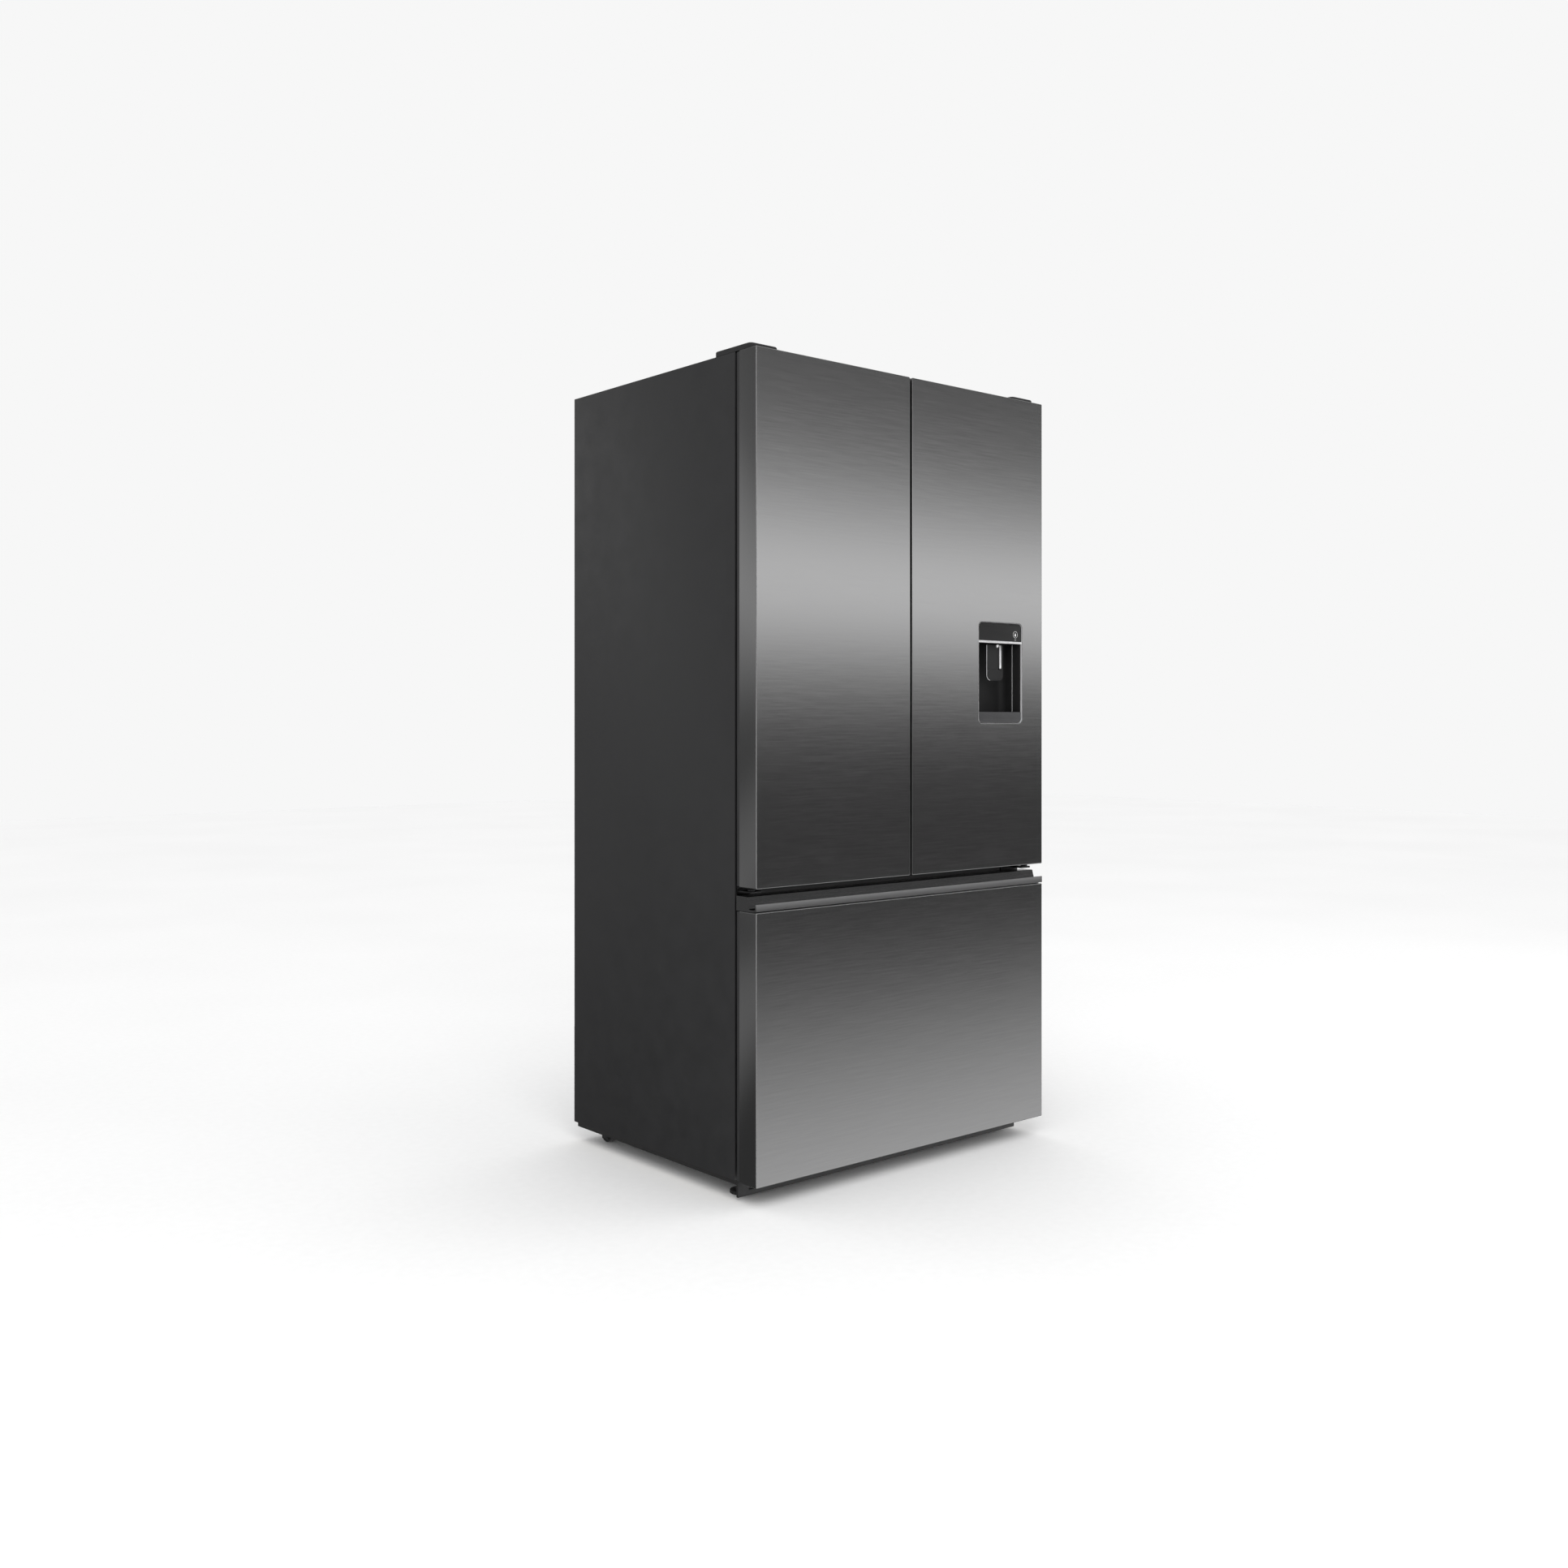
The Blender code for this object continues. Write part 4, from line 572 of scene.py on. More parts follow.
def vary_tone(finish, value, dark, light):
    """Mixes two colours by a value and gives the result to the shader."""
    tree = finish.node_tree
    mix = tree.nodes.new("ShaderNodeMix")
    mix.data_type = "RGBA"
    mix.inputs["A"].default_value = (*dark, 1.0)
    mix.inputs["B"].default_value = (*light, 1.0)
    tree.links.new(levels(finish, value, 0.0, 1.0), mix.inputs["Factor"])
    tree.links.new(mix.outputs["Result"], tree.nodes["Principled BSDF"].inputs["Base Color"])
    return mix.outputs["Result"]


def vary_gloss(finish, value, low, high):
    tree = finish.node_tree
    tree.links.new(levels(finish, value, low, high), tree.nodes["Principled BSDF"].inputs["Roughness"])


def add_relief(finish, value, height):
    """Raises the surface by height where the value is 1."""
    tree = finish.node_tree
    bump = tree.nodes.new("ShaderNodeBump")
    bump.inputs["Distance"].default_value = height
    tree.links.new(value, bump.inputs["Height"])
    tree.links.new(bump.outputs["Normal"], tree.nodes["Principled BSDF"].inputs["Normal"])


def paint_edge_highlight(finish, colour, roughness):
    """Where the piece's own edge value is 1, the surface takes a lighter colour and haze: a painted
    highlight.
    """
    tree = finish.node_tree
    shader = tree.nodes["Principled BSDF"]
    mark = tree.nodes.new("ShaderNodeAttribute")
    mark.attribute_name = "edge"
    for name, kind, highlight_value in (("Base Color", "RGBA", (*colour, 1.0)), ("Roughness", "FLOAT", roughness)):
        mix = tree.nodes.new("ShaderNodeMix")
        mix.data_type = kind
        plain, highlighted, result = (
            next(socket for socket in sockets if socket.name == label and socket.enabled)
            for sockets, label in ((mix.inputs, "A"), (mix.inputs, "B"), (mix.outputs, "Result"))
        )
        tree.links.new(shader.inputs[name].links[0].from_socket, plain)
        highlighted.default_value = highlight_value
        tree.links.new(mark.outputs["Fac"], mix.inputs["Factor"])
        tree.links.new(result, shader.inputs[name])


# %% [markdown]
# ## Dark stainless steel
#
# The sheet is ground with a belt, so its surface is thousands of fine lines that all run
# across the door. Along a line the steel is smooth, and over the lines it is rough. A thin
# dark coat makes the steel grey. Two noises drawn out along X give the long fine lines and
# the broader uneven bands between them; they change the gloss and relief much more than the
# tone. At the folded edges the steel is painted lighter: a painted highlight of the light a fold catches.

# %% Steel finishes
STEEL_DARK = (0.210, 0.210, 0.211)
STEEL_LIGHT = (0.233, 0.233, 0.234)


def brushed(name, dark, light, gloss, along=(90, 1, 1)):
    """A brushed metal whose lines run along the axis with the greatest stretch."""
    finish = new_finish(name, light, sum(gloss) / 2, 1.0)
    fine = grain(finish, 0.00045, along, 2.0)
    broad = grain(finish, 0.003, tuple(1 + 0.4 * (a - 1) for a in along), 3.0)
    both = mean_of(finish, fine, broad)
    vary_tone(finish, both, dark, light)
    vary_gloss(finish, both, *gloss)
    add_relief(finish, fine, 0.0000012)
    return finish


door_steel = brushed("dark_brushed_steel", STEEL_DARK, STEEL_LIGHT, (0.13, 0.17))
# Lighter colour on the door folds: a painted highlight.
paint_edge_highlight(door_steel, (0.40, 0.40, 0.402), 0.5)
handle_steel = brushed("dark_satin_handle", (0.105, 0.105, 0.106), (0.125, 0.125, 0.126), (0.24, 0.30))
# Lighter colour on the handle lip's top edge: a painted highlight.
paint_edge_highlight(handle_steel, (0.30, 0.30, 0.302), 0.5)
zinc = brushed("zinc_plated_steel", (0.50, 0.51, 0.53), (0.63, 0.64, 0.66), (0.25, 0.42), (1, 30, 1))
satin_trim = brushed("satin_bright_trim", (0.86, 0.86, 0.87), (0.94, 0.94, 0.95), (0.34, 0.44), (20, 1, 1))
hinge_black = brushed(
    "blackened_hinge_steel", (0.030, 0.030, 0.031), (0.055, 0.055, 0.056), (0.32, 0.45), (6, 1, 1),
)
print("steel finishes:", door_steel.name, handle_steel.name, zinc.name, satin_trim.name, hinge_black.name)

# %% [markdown]
# ## Paints and plastics
#
# The cabinet's sides have a powder coat with a fine leathery relief. Mouldings outside are
# black with a fine spark-eroded grain, and the liners inside are white sheet, drawn over a
# mould, so they are glossy with a very shallow ripple. Clear bins are thin styrene.

# %% Plain finishes


def moulded(name, dark, light, gloss, size, relief, **settings):
    """A coated or moulded surface with one grain that changes its tone, gloss and relief."""
    finish = new_finish(name, light, sum(gloss) / 2, **settings)
    small = grain(finish, size)
    broad = grain(finish, size * 60)
    both = mean_of(finish, small, broad)
    vary_tone(finish, both, dark, light)
    vary_gloss(finish, both, *gloss)
    add_relief(finish, small, relief)
    return finish


powder_coat = moulded(
    "graphite_powder_coat", (0.014, 0.014, 0.015), (0.020, 0.020, 0.021), (0.42, 0.54), 0.0009, 0.00004,
)
black_grain = moulded(
    "black_grained_plastic", (0.010, 0.010, 0.011), (0.016, 0.016, 0.017), (0.42, 0.58), 0.0005, 0.00002,
)
well_black = moulded(
    "dispenser_black", (0.012, 0.012, 0.0125), (0.017, 0.017, 0.0175), (0.55, 0.65), 0.0006, 0.00001,
    Specular_IOR_Level=0.3,
)
panel_grey = moulded(
    "dispenser_dark_grey", (0.011, 0.011, 0.0112), (0.014, 0.014, 0.0143), (0.45, 0.55), 0.0008, 0.000006,
    Specular_IOR_Level=0.3,
)
tray_grey = moulded(
    "dispenser_tray_grey", (0.028, 0.028, 0.030), (0.042, 0.042, 0.044), (0.38, 0.5), 0.0006, 0.00001,
)
edge_grey = moulded(
    "door_frame_grey", (0.018, 0.018, 0.019), (0.026, 0.026, 0.027), (0.4, 0.52), 0.0006, 0.00002,
)
white_liner = moulded(
    "white_liner_sheet", (0.80, 0.81, 0.82), (0.86, 0.87, 0.88), (0.20, 0.34), 0.0030, 0.00003,
)
white_trim = moulded(
    "white_moulded_trim", (0.78, 0.79, 0.80), (0.85, 0.86, 0.87), (0.28, 0.40), 0.0008, 0.00001,
)
seal_grey = moulded(
    "grey_magnetic_seal", (0.15, 0.15, 0.155), (0.21, 0.21, 0.215), (0.55, 0.72), 0.0012, 0.00003,
)
galvanised = moulded(
    "galvanised_sheet", (0.38, 0.39, 0.40), (0.52, 0.53, 0.54), (0.30, 0.50), 0.0060, 0.00001,
    metallic=0.85,
)
foam = moulded("poured_foam", (0.62, 0.53, 0.32), (0.76, 0.67, 0.44), (0.85, 0.95), 0.0030, 0.0004)
enamel = moulded(
    "compressor_enamel", (0.010, 0.010, 0.011), (0.018, 0.018, 0.019), (0.22, 0.36), 0.0020, 0.00003,
)
copper = moulded(
    "copper_tube", (0.50, 0.25, 0.14), (0.68, 0.38, 0.24), (0.24, 0.45), 0.0040, 0.00001, metallic=1.0,
)
fin_metal = moulded(
    "bare_fins", (0.62, 0.63, 0.65), (0.76, 0.77, 0.78), (0.28, 0.45), 0.0030, 0.00001, metallic=1.0,
)
icon_white = moulded("icon_white", (0.80, 0.80, 0.80), (0.88, 0.88, 0.88), (0.4, 0.5), 0.0004, 0.000002)
rubber = moulded("black_rubber", (0.012, 0.012, 0.012), (0.022, 0.022, 0.022), (0.6, 0.8), 0.0010, 0.00004)
print("finishes so far:", len(bpy.data.materials))

# %% [markdown]
# ## Clear plastics and glass
#
# A clear bin or a glass shelf could be a true refracting solid, but thin walls of it bend
# light very little and mostly add reflections and a faint tint. A part-transparent glossy
# surface shows the same and stays free of dark edges where bins overlap.

# %% Clear finishes


def clear(name, colour, alpha, gloss, size=0.02):
    finish = new_finish(name, colour, sum(gloss) / 2, Alpha=alpha)
    marks = grain(finish, size)
    vary_tone(finish, marks, tuple(0.94 * c for c in colour), colour)
    vary_gloss(finish, marks, *gloss)
    add_relief(finish, marks, 0.0001)
    return finish


clear_plastic = clear("clear_styrene", (0.84, 0.88, 0.90), 0.34, (0.05, 0.12))
clear_rim = clear("clear_styrene_rim", (0.80, 0.85, 0.88), 0.62, (0.08, 0.16))
frosted = clear("frosted_styrene", (0.82, 0.85, 0.87), 0.72, (0.25, 0.38), 0.006)
shelf_glass = clear("toughened_glass", (0.80, 0.92, 0.88), 0.28, (0.02, 0.06), 0.15)
print("clear finishes added, total", len(bpy.data.materials))

# %% [markdown]
# ## Door skins
#
# Each front is one sheet, folded back on all four sides. A press brake leaves a small round
# fold, and that fold draws a thin bright line up a door's edge, so it is modelled and not
# faked with a bump; the fold's colour is also painted lighter, a painted highlight that
# strengthens the line. The skin is a row of rounded rectangles: out over the face, round the
# fold, back along the side, then the same again inside for the thickness of the sheet.
# The dispenser's door starts its row at the window, so its face is a ring, not a plate.

# %% Folded skin
SHEET = 0.0012
FOLD = 0.0018
FOLD_STEPS = 6
FACE_BORDER = 0.0008
OUTER_CORNER = 0.0022
SEAM_LOWER_CORNER = 0.0036
SEAM_UPPER_CORNER = 0.0046
WINDOW_CORNER = 0.012
WINDOW_FOLD = 0.0006
# Painted highlight on the folds: a lighter colour, weaker near the seam.
SEAM_REACH = 0.1
SEAM_HIGHLIGHT = 0.15
NO_DEPTH = 0.00001


def mark_painted_highlight(piece, strength, value_at):
    """Stores value_at of each point, times the strength, for the painted edge highlight of a finish."""
    points = np.empty(len(piece.data.vertices) * 3)
    piece.data.vertices.foreach_get("co", points)
    mark = piece.data.attributes.new("edge", "FLOAT", "POINT")
    mark.data.foreach_set("value", value_at(points.reshape(-1, 3)).astype(np.float32) * strength)


def folded_skin(node, corners, window=None):
    """Rings of insets and depths: face border, fold, side, then back inside the sheet."""
    low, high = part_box(node)
    low_xz, high_xz = (low.x, low.z), (high.x, high.z)

    def ring(inset, y):
        return standing(eased_rectangle(low_xz, high_xz, corners, inset), y)

    turn = np.linspace(0, math.pi / 2, FOLD_STEPS + 1)
    rings = []
    if window:
        half_turned = 0.3 * WINDOW_FOLD
        hole_rings = (
            (0, SHEET), (0, WINDOW_FOLD), (half_turned, half_turned), (WINDOW_FOLD, 0), (2 * WINDOW_FOLD, 0),
        )
        rings += [
            standing(eased_rectangle(*window, WINDOW_CORNER, -outset), low.y + depth)
            for outset, depth in hole_rings
        ]
    rings.append(ring(FOLD + FACE_BORDER, low.y))
    rings += [ring(FOLD * (1 - math.sin(t)), low.y + FOLD * (1 - math.cos(t))) for t in turn]
    rings += [ring(0, high.y), ring(SHEET, high.y), ring(SHEET, low.y + FOLD), ring(FOLD, low.y + SHEET)]
    skin = loft(node + "_folded", rings, closed=window is not None)

    def fold_highlight(points):
        """Painted highlight on the folds: full on the outer and upper folds, little beside the seam, none on
        the lower fold.
        """
        x, y, z = points.T
        on_fold = (y > low.y + NO_DEPTH) & (y < low.y + FOLD - NO_DEPTH) & (z > low.z + FOLD)
        return on_fold * np.where(np.abs(x) < SEAM_REACH, SEAM_HIGHLIGHT, 1.0)

    mark_painted_highlight(skin, 1.0, fold_highlight)
    return fit(skin, door_steel, node)


seam_side = (OUTER_CORNER, SEAM_LOWER_CORNER, SEAM_UPPER_CORNER, OUTER_CORNER)
hole_low, hole_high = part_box("dispenser_bezel")
TOUCHING_GAP = 0.0003
window = (
    (hole_low.x - TOUCHING_GAP, hole_low.z - TOUCHING_GAP),
    (hole_high.x + TOUCHING_GAP, hole_high.z + TOUCHING_GAP),
)
folded_skin("left_door_skin", seam_side)
folded_skin("right_door_skin", (SEAM_LOWER_CORNER, OUTER_CORNER, OUTER_CORNER, SEAM_UPPER_CORNER), window)
folded_skin("drawer_skin", (OUTER_CORNER,) * 4)
print("skins folded at radius", FOLD * 1000, "mm")

# %% [markdown]
# ## The scoop handle
#
# The handle is one aluminium extrusion as long as the drawer is wide: a thin lip flush with
# the steel, a trough for the fingers behind it, and a sloping wall up to the top. An
# extrusion is an outline drawn along a line, so the outline holds all the work: each corner
# has its own radius, small on the lip and large in the trough, where fingers go.

# %% Handle
LIP_HEIGHT = 0.0148
LIP_THICKNESS = 0.003
GROOVE_HEIGHT = 0.0024
GROOVE_DEPTH = 0.010
TROUGH_METAL = 0.0023
TROUGH_REAR = 0.0235
WALL_TOP = 0.031

low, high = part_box("drawer_handle")
foot = low.z
lip_foot = foot + GROOVE_HEIGHT
trough = lip_foot + TROUGH_METAL
depth = high.y - low.y
section = np.array(
    (
        (0, lip_foot),
        (0, lip_foot + LIP_HEIGHT),
        (LIP_THICKNESS, lip_foot + LIP_HEIGHT),
        (LIP_THICKNESS, trough),
        (TROUGH_REAR, trough),
        (WALL_TOP, high.z),
        (depth, high.z),
        (depth, foot),
        (GROOVE_DEPTH, foot),
        (GROOVE_DEPTH, lip_foot),
    )
)
section[:, 0] += low.y
radii = (0.0004, 0.0010, 0.0010, 0.0040, 0.0060, 0.0012, 0.0006, 0.0003, 0.0003, 0.0006)
handle = bar("drawer_handle_extrusion", across, eased(section, radii, 7), (low.x, high.x))
# The lip's top edge is painted lighter: a painted highlight.
LIP_HIGHLIGHT = 0.8
LIP_HIGHLIGHT_DEPTH = 0.0038
LIP_HIGHLIGHT_HEIGHT = 0.0011
highlight_from = lip_foot + LIP_HEIGHT - LIP_HIGHLIGHT_HEIGHT
mark_painted_highlight(handle, LIP_HIGHLIGHT, lambda p: (p[:, 1] < low.y + LIP_HIGHLIGHT_DEPTH) & (p[:, 2] > highlight_from))
fit(handle, handle_steel, "drawer_handle")
print("handle section has", len(section), "corners")

# %% [markdown]
# ## Door liners and their frames
#
# Behind the steel a door is a foam slab in a white plastic liner with a raised frame, which
# stiffens it and carries the bins. Round the slab's edge runs a dark moulding that closes the
# gap between steel and liner. The liner is drawn plastic, so all its edges are large soft
# rounds: each is a quarter circle of rings, where the outline grows or shrinks as it rises.

# %% Liner shapes
FRAME_WIDTH = 0.0165
FRAME_STEP = 0.0008
DYKE_WIDTH = 0.028
DYKE_ROUND = 0.008
DYKE_FOOT = 0.004
LINER_CORNER = 0.012
ROUND_STEPS = 5


def quarter(radius, start, end):
    """Pairs (inset, rise) along a quarter circle between two angles in degrees."""
    angle = np.radians(np.linspace(start, end, ROUND_STEPS + 1))
    return np.column_stack([radius * np.cos(angle), radius * np.sin(angle)])


def dyke_rings(low_xz, high_xz, floor, top):
    """Up the outer side of the raised frame, over it and down inside, with round edges."""
    foot = (DYKE_FOOT, 270, 360, -DYKE_FOOT, floor + DYKE_FOOT)
    outer_top = (DYKE_ROUND, 180, 90, DYKE_ROUND, top - DYKE_ROUND)
    inner_top = (DYKE_ROUND, 90, 0, DYKE_WIDTH - DYKE_ROUND, top - DYKE_ROUND)
    inner_foot = (DYKE_FOOT, 180, 270, DYKE_WIDTH + DYKE_FOOT, floor + DYKE_FOOT)
    return [
        standing(eased_rectangle(low_xz, high_xz, LINER_CORNER, centre + inset), level + rise)
        for radius, start, end, centre, level in (foot, outer_top, inner_top, inner_foot)
        for inset, rise in quarter(radius, start, end)
    ]


def raised_field(low_xz, high_xz, floor, top):
    """A flat raised field with a hollow round at its foot and a full round at its top."""
    rise = (top - floor) / 2
    foot = (rise, 270, 360, -rise, floor + rise)
    brim = (rise, 180, 90, rise, top - rise)
    return [
        standing(eased_rectangle(low_xz, high_xz, LINER_CORNER, centre + inset), level + up)
        for radius, start, end, centre, level in (foot, brim)
        for inset, up in quarter(radius, start, end)
    ]


def inner_panel(node, skin, seal, field, pocket=None):
    """The white slab: its front face or pocket, its sides, its rear face and what rises from it."""
    low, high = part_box(node)
    slab_low, slab_high = (low.x, low.z), (high.x, high.z)
    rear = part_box(seal)[0].y - TOUCHING_GAP
    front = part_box(skin)[1].y - SHEET

    def slab(inset, y):
        return standing(eased_rectangle(slab_low, slab_high, OUTER_CORNER, inset), y)

    rings = []
    if pocket:
        pocket_low, pocket_high, pocket_rear = pocket
        for y in (pocket_rear, low.y):
            rings.append(standing(eased_rectangle(pocket_low, pocket_high, OUTER_CORNER), y))
    rings += [
        slab(FRAME_WIDTH, low.y), slab(FRAME_WIDTH, rear - FRAME_STEP),
        slab(FRAME_WIDTH + FRAME_STEP, rear),
    ]
    rings += field(rear)
    fit(loft(node + "_drawn", rings), white_liner, node)
    near = FRAME_WIDTH - TOUCHING_GAP
    edge_rings = [
        slab(0, front),
        slab(0, rear - FRAME_STEP),
        slab(FRAME_STEP, rear),
        slab(near - FRAME_STEP, rear),
        slab(near, rear - FRAME_STEP),
        slab(near, front),
    ]
    body = frame["nodes"][node]["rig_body"]
    fit(loft(node + "_edge_frame", edge_rings, closed=True), edge_grey, body=body, slot="black_plastic")


# %% Place the liners
BIN_GAP = 0.0006
DYKE_END = 0.003
POCKET_GAP = 0.0006
FIELD_MARGIN = 0.012
FIELD_RISE = 0.003

bin_low, bin_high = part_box("left_bin_upper")
flap_low, flap_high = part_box("mullion_flap")
housing_low, housing_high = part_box("dispenser_housing")
dyke_top_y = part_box("left_door_liner")[1].y
dyke_near = bin_high.x + BIN_GAP + DYKE_WIDTH
dyke_far = bin_low.x - BIN_GAP - DYKE_WIDTH
dyke_z = flap_low.z + DYKE_END, flap_high.z - DYKE_END
pocket = (
    (housing_low.x - POCKET_GAP, housing_low.z - POCKET_GAP),
    (housing_high.x + POCKET_GAP, housing_high.z + POCKET_GAP),
    housing_high.y + TOUCHING_GAP,
)
for side, x0, x1, hollow in (("left", dyke_far, dyke_near, None), ("right", -dyke_near, -dyke_far, pocket)):
    inner_panel(
        side + "_door_liner",
        side + "_door_skin",
        side + "_door_gasket",
        lambda floor: dyke_rings((x0, dyke_z[0]), (x1, dyke_z[1]), floor, dyke_top_y),
        hollow,
    )
seal_low, seal_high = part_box("drawer_gasket")
SEAL_WIDTH = 0.014
field_inset = SEAL_WIDTH + FIELD_MARGIN
inner_panel(
    "drawer_liner",
    "drawer_skin",
    "drawer_gasket",
    lambda floor: raised_field(
        (seal_low.x + field_inset, seal_low.z + field_inset),
        (seal_high.x - field_inset, seal_high.z - field_inset),
        floor,
        floor + FIELD_RISE,
    ),
)

# The dispenser needs more foam behind it, so the liner has a low boss there.
BOSS_MARGIN = 0.010
BOSS_DEPTH = 0.025
BOSS_ROUND = 0.007
door_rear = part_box("right_door_gasket")[0].y - TOUCHING_GAP
boss = [
    standing(
        eased_rectangle(
            (housing_low.x - BOSS_MARGIN, housing_low.z - BOSS_MARGIN),
            (-dyke_far - DYKE_WIDTH / 2, housing_high.z + BOSS_MARGIN),
            BOSS_ROUND + 0.002,
            BOSS_ROUND + inset,
        ),
        door_rear + BOSS_DEPTH - BOSS_ROUND + rise,
    )
    for inset, rise in quarter(BOSS_ROUND, 180, 90)
]
boss.insert(0, boss[0] - (0, BOSS_DEPTH - BOSS_ROUND, 0))
boss_piece = loft("dispenser_boss_drawn", boss)
fit(boss_piece, white_liner, body="right_door", slot="white_liner")
print("liners: raised frame from", round(dyke_z[0], 3), "to", round(dyke_z[1], 3))

# %% [markdown]
# ## Magnetic seals
#
# A seal is a soft hollow profile with a magnet strip in its nose and a folded bellows behind
# it. Its shape is the same all the way round, so the profile is written once, as distances in
# from the seal's outer edge and out from the door, and each of its points becomes one ring.

# %% Seals
SEAL_CORNER = 0.010


def seal(node):
    low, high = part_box(node)
    width, depth = SEAL_WIDTH, high.y - low.y
    profile = np.array(
        ((0.10, 0), (0.10, 0.16), (0, 0.30), (0.14, 0.44), (0, 0.58), (0, 1), (1, 1),
         (1, 0.66), (0.80, 0.50), (0.92, 0.34), (0.80, 0.18), (0.80, 0))
    )
    outline = eased(profile * (width, depth), 0.0006, 3)
    rings = [
        standing(eased_rectangle((low.x, low.z), (high.x, high.z), SEAL_CORNER, inset), low.y + rise)
        for inset, rise in outline
    ]
    fit(loft(node + "_bellows", rings, closed=True), seal_grey, node)


for node in ("left_door_gasket", "right_door_gasket", "drawer_gasket"):
    seal(node)
print("seals: 3")

# %% [markdown]
# ## The flap between the doors
#
# The left door carries a narrow heated flap that closes the gap behind the seam. It is a
# plastic channel with a thin painted steel face, and it turns in as the door opens.

# %% Flap
FLAP_FACE = 0.0012
FLAP_MARGIN = 0.004
round_edge = (flap_high.y - flap_low.y) / 2 - 0.0002
flap_outline = eased(
    rectangle((flap_low.x, flap_low.y + FLAP_FACE), (flap_high.x, flap_high.y)),
    (0.0015, 0.0015, 0.003, round_edge - FLAP_FACE / 2),
    6,
)
fit(bar("mullion_flap_channel", lying, flap_outline, (flap_low.z, flap_high.z)), edge_grey, "mullion_flap")
plate = bar(
    "mullion_flap_face",
    lying,
    eased(
        rectangle((flap_low.x + FLAP_MARGIN, flap_low.y), (flap_high.x, flap_low.y + FLAP_FACE)), 0.0004, 3,
    ),
    (flap_low.z + FLAP_MARGIN, flap_high.z - FLAP_MARGIN),
)
fit(plate, powder_coat, body="mullion", slot="white_liner")
print("flap", round(flap_high.z - flap_low.z, 3), "m tall")

# %% [markdown]
# ## Bins, crispers, basket and tray
#
# All of these are drawn or moulded tubs: a floor, four walls that lean out a little so that
# the mould comes free, round corners and a thicker rim. One function makes them all. Its
# rings go up the outside from the floor, over the rim and down the inside, and each ring is
# a rounded rectangle whose inset is the wall's lean at that height.

# %% Tub


def tub(name, low, high, wall, lean, corner, rim=0.006):
    """Outside up, rim, inside down. The lean at height h is lean * (1 - h) of the full height."""
    height = high[2] - low[2]
    floor_round = 3 * wall
    plan_low, plan_high = low[:2], high[:2]

    def ring(inset, z):
        share = 1 - (z - low[2]) / height
        return lying(eased_rectangle(plan_low, plan_high, corner + lean, inset + lean * share, 5), z)

    rings = [
        ring(floor_round + inset, low[2] + floor_round + rise)
        for inset, rise in quarter(floor_round, 270, 180)
    ]
    rings += [ring(wall * 0.6, high[2] - rim), ring(0, high[2] - rim), ring(0, high[2] - wall / 3)]
    rings += [ring(wall / 3, high[2]), ring(wall * 1.4, high[2]), ring(wall * 1.6, high[2] - wall / 3)]
    inner = floor_round - wall * 0.4
    for inset, rise in quarter(inner, 180, 270):
        rings.append(ring(wall * 1.6 + inner + inset, low[2] + wall + inner + rise))
    return loft(name, rings)


def tub_for(node, finish, *shape):
    low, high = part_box(node)
    return fit(tub(node + "_moulded", tuple(low), tuple(high), *shape), finish, node)


# %% Door bins
BIN_WALL = 0.0025
BIN_LEAN = 0.006
BIN_CORNER = 0.016
BAND_HEIGHT = 0.014
for node in ("left_bin_lower", "left_bin_middle", "left_bin_upper", "right_bin_lower", "right_bin_upper"):
    low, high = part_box(node)
    tub_for(node, clear_plastic, BIN_WALL, BIN_LEAN, BIN_CORNER)
    band_low = (low.x + BIN_CORNER, high.y - 0.0016)
    band_high = (high.x - BIN_CORNER, high.y)
    band = bar(
        node + "_band",
        lying,
        eased(rectangle(band_low, band_high), 0.0007, 3),
        (high.z - BAND_HEIGHT - 0.008, high.z - 0.008),
    )
    fit(band, zinc, body=node.split("_")[0] + "_door", slot="bright_trim")
print("door bins: 5, each with a bright band")

# %% Crispers, basket and tray
for side in ("left", "right"):
    low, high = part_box("crisper_" + side)
    tub_for("crisper_" + side, clear_plastic, 0.003, 0.012, 0.020, 0.010)
    grip = bar(
        "crisper_grip_" + side,
        across,
        eased(
            rectangle((low.y, high.z - 0.030), (low.y + 0.009, high.z - 0.001)),
            (0.004, 0.004, 0.001, 0.003), 4,
        ),
        (low.x + 0.030, high.x - 0.030),
        0.002,
    )
    fit(grip, clear_rim, body=side + "_crisper", slot="clear_bin")
tub_for("freezer_tray", clear_plastic, 0.003, 0.002, 0.018)
print("crispers and freezer tray in place")

BASKET_RIM = 0.004
basket_low, basket_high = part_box("freezer_basket")
rail_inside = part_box("inner_rail_right")[0].x
deep = tub(
    "freezer_basket_moulded",
    (-rail_inside + 0.0016, basket_low.y, basket_low.z),
    (rail_inside - 0.0016, basket_high.y, basket_high.z - BASKET_RIM / 4),
    0.003,
    0.013,
    0.022,
    0.012,
)
fit(deep, frosted, "freezer_basket")
rim_rings = [
    lying(eased_rectangle((basket_low.x, basket_low.y), (basket_high.x, basket_high.y), 0.022, inset, 5), z)
    for inset, z in (
        (0.0006, basket_high.z - BASKET_RIM),
        (0, basket_high.z - BASKET_RIM + 0.0006),
        (0, basket_high.z - 0.0006),
        (0.0006, basket_high.z),
        (0.0120, basket_high.z),
        (0.0125, basket_high.z - BASKET_RIM),
    )
]
rim_piece = loft("freezer_basket_rim", rim_rings, closed=True)
fit(rim_piece, frosted, body="freezer_drawer", slot="frosted_basket")
print(
    "basket holds", round((basket_high.y - basket_low.y) * (basket_high.z - basket_low.z) * 0.72 * 1000),
    "litres",
)

# %% [markdown]
# ## The water dispenser
#
# The dispenser is a small assembly in the right door. From the front there is a bright ring,
# a dark touch panel over a bright cross strip, and below it a black well with round rear
# corners, a hanging paddle, a nozzle and a drip tray. Each of them is its own piece here.

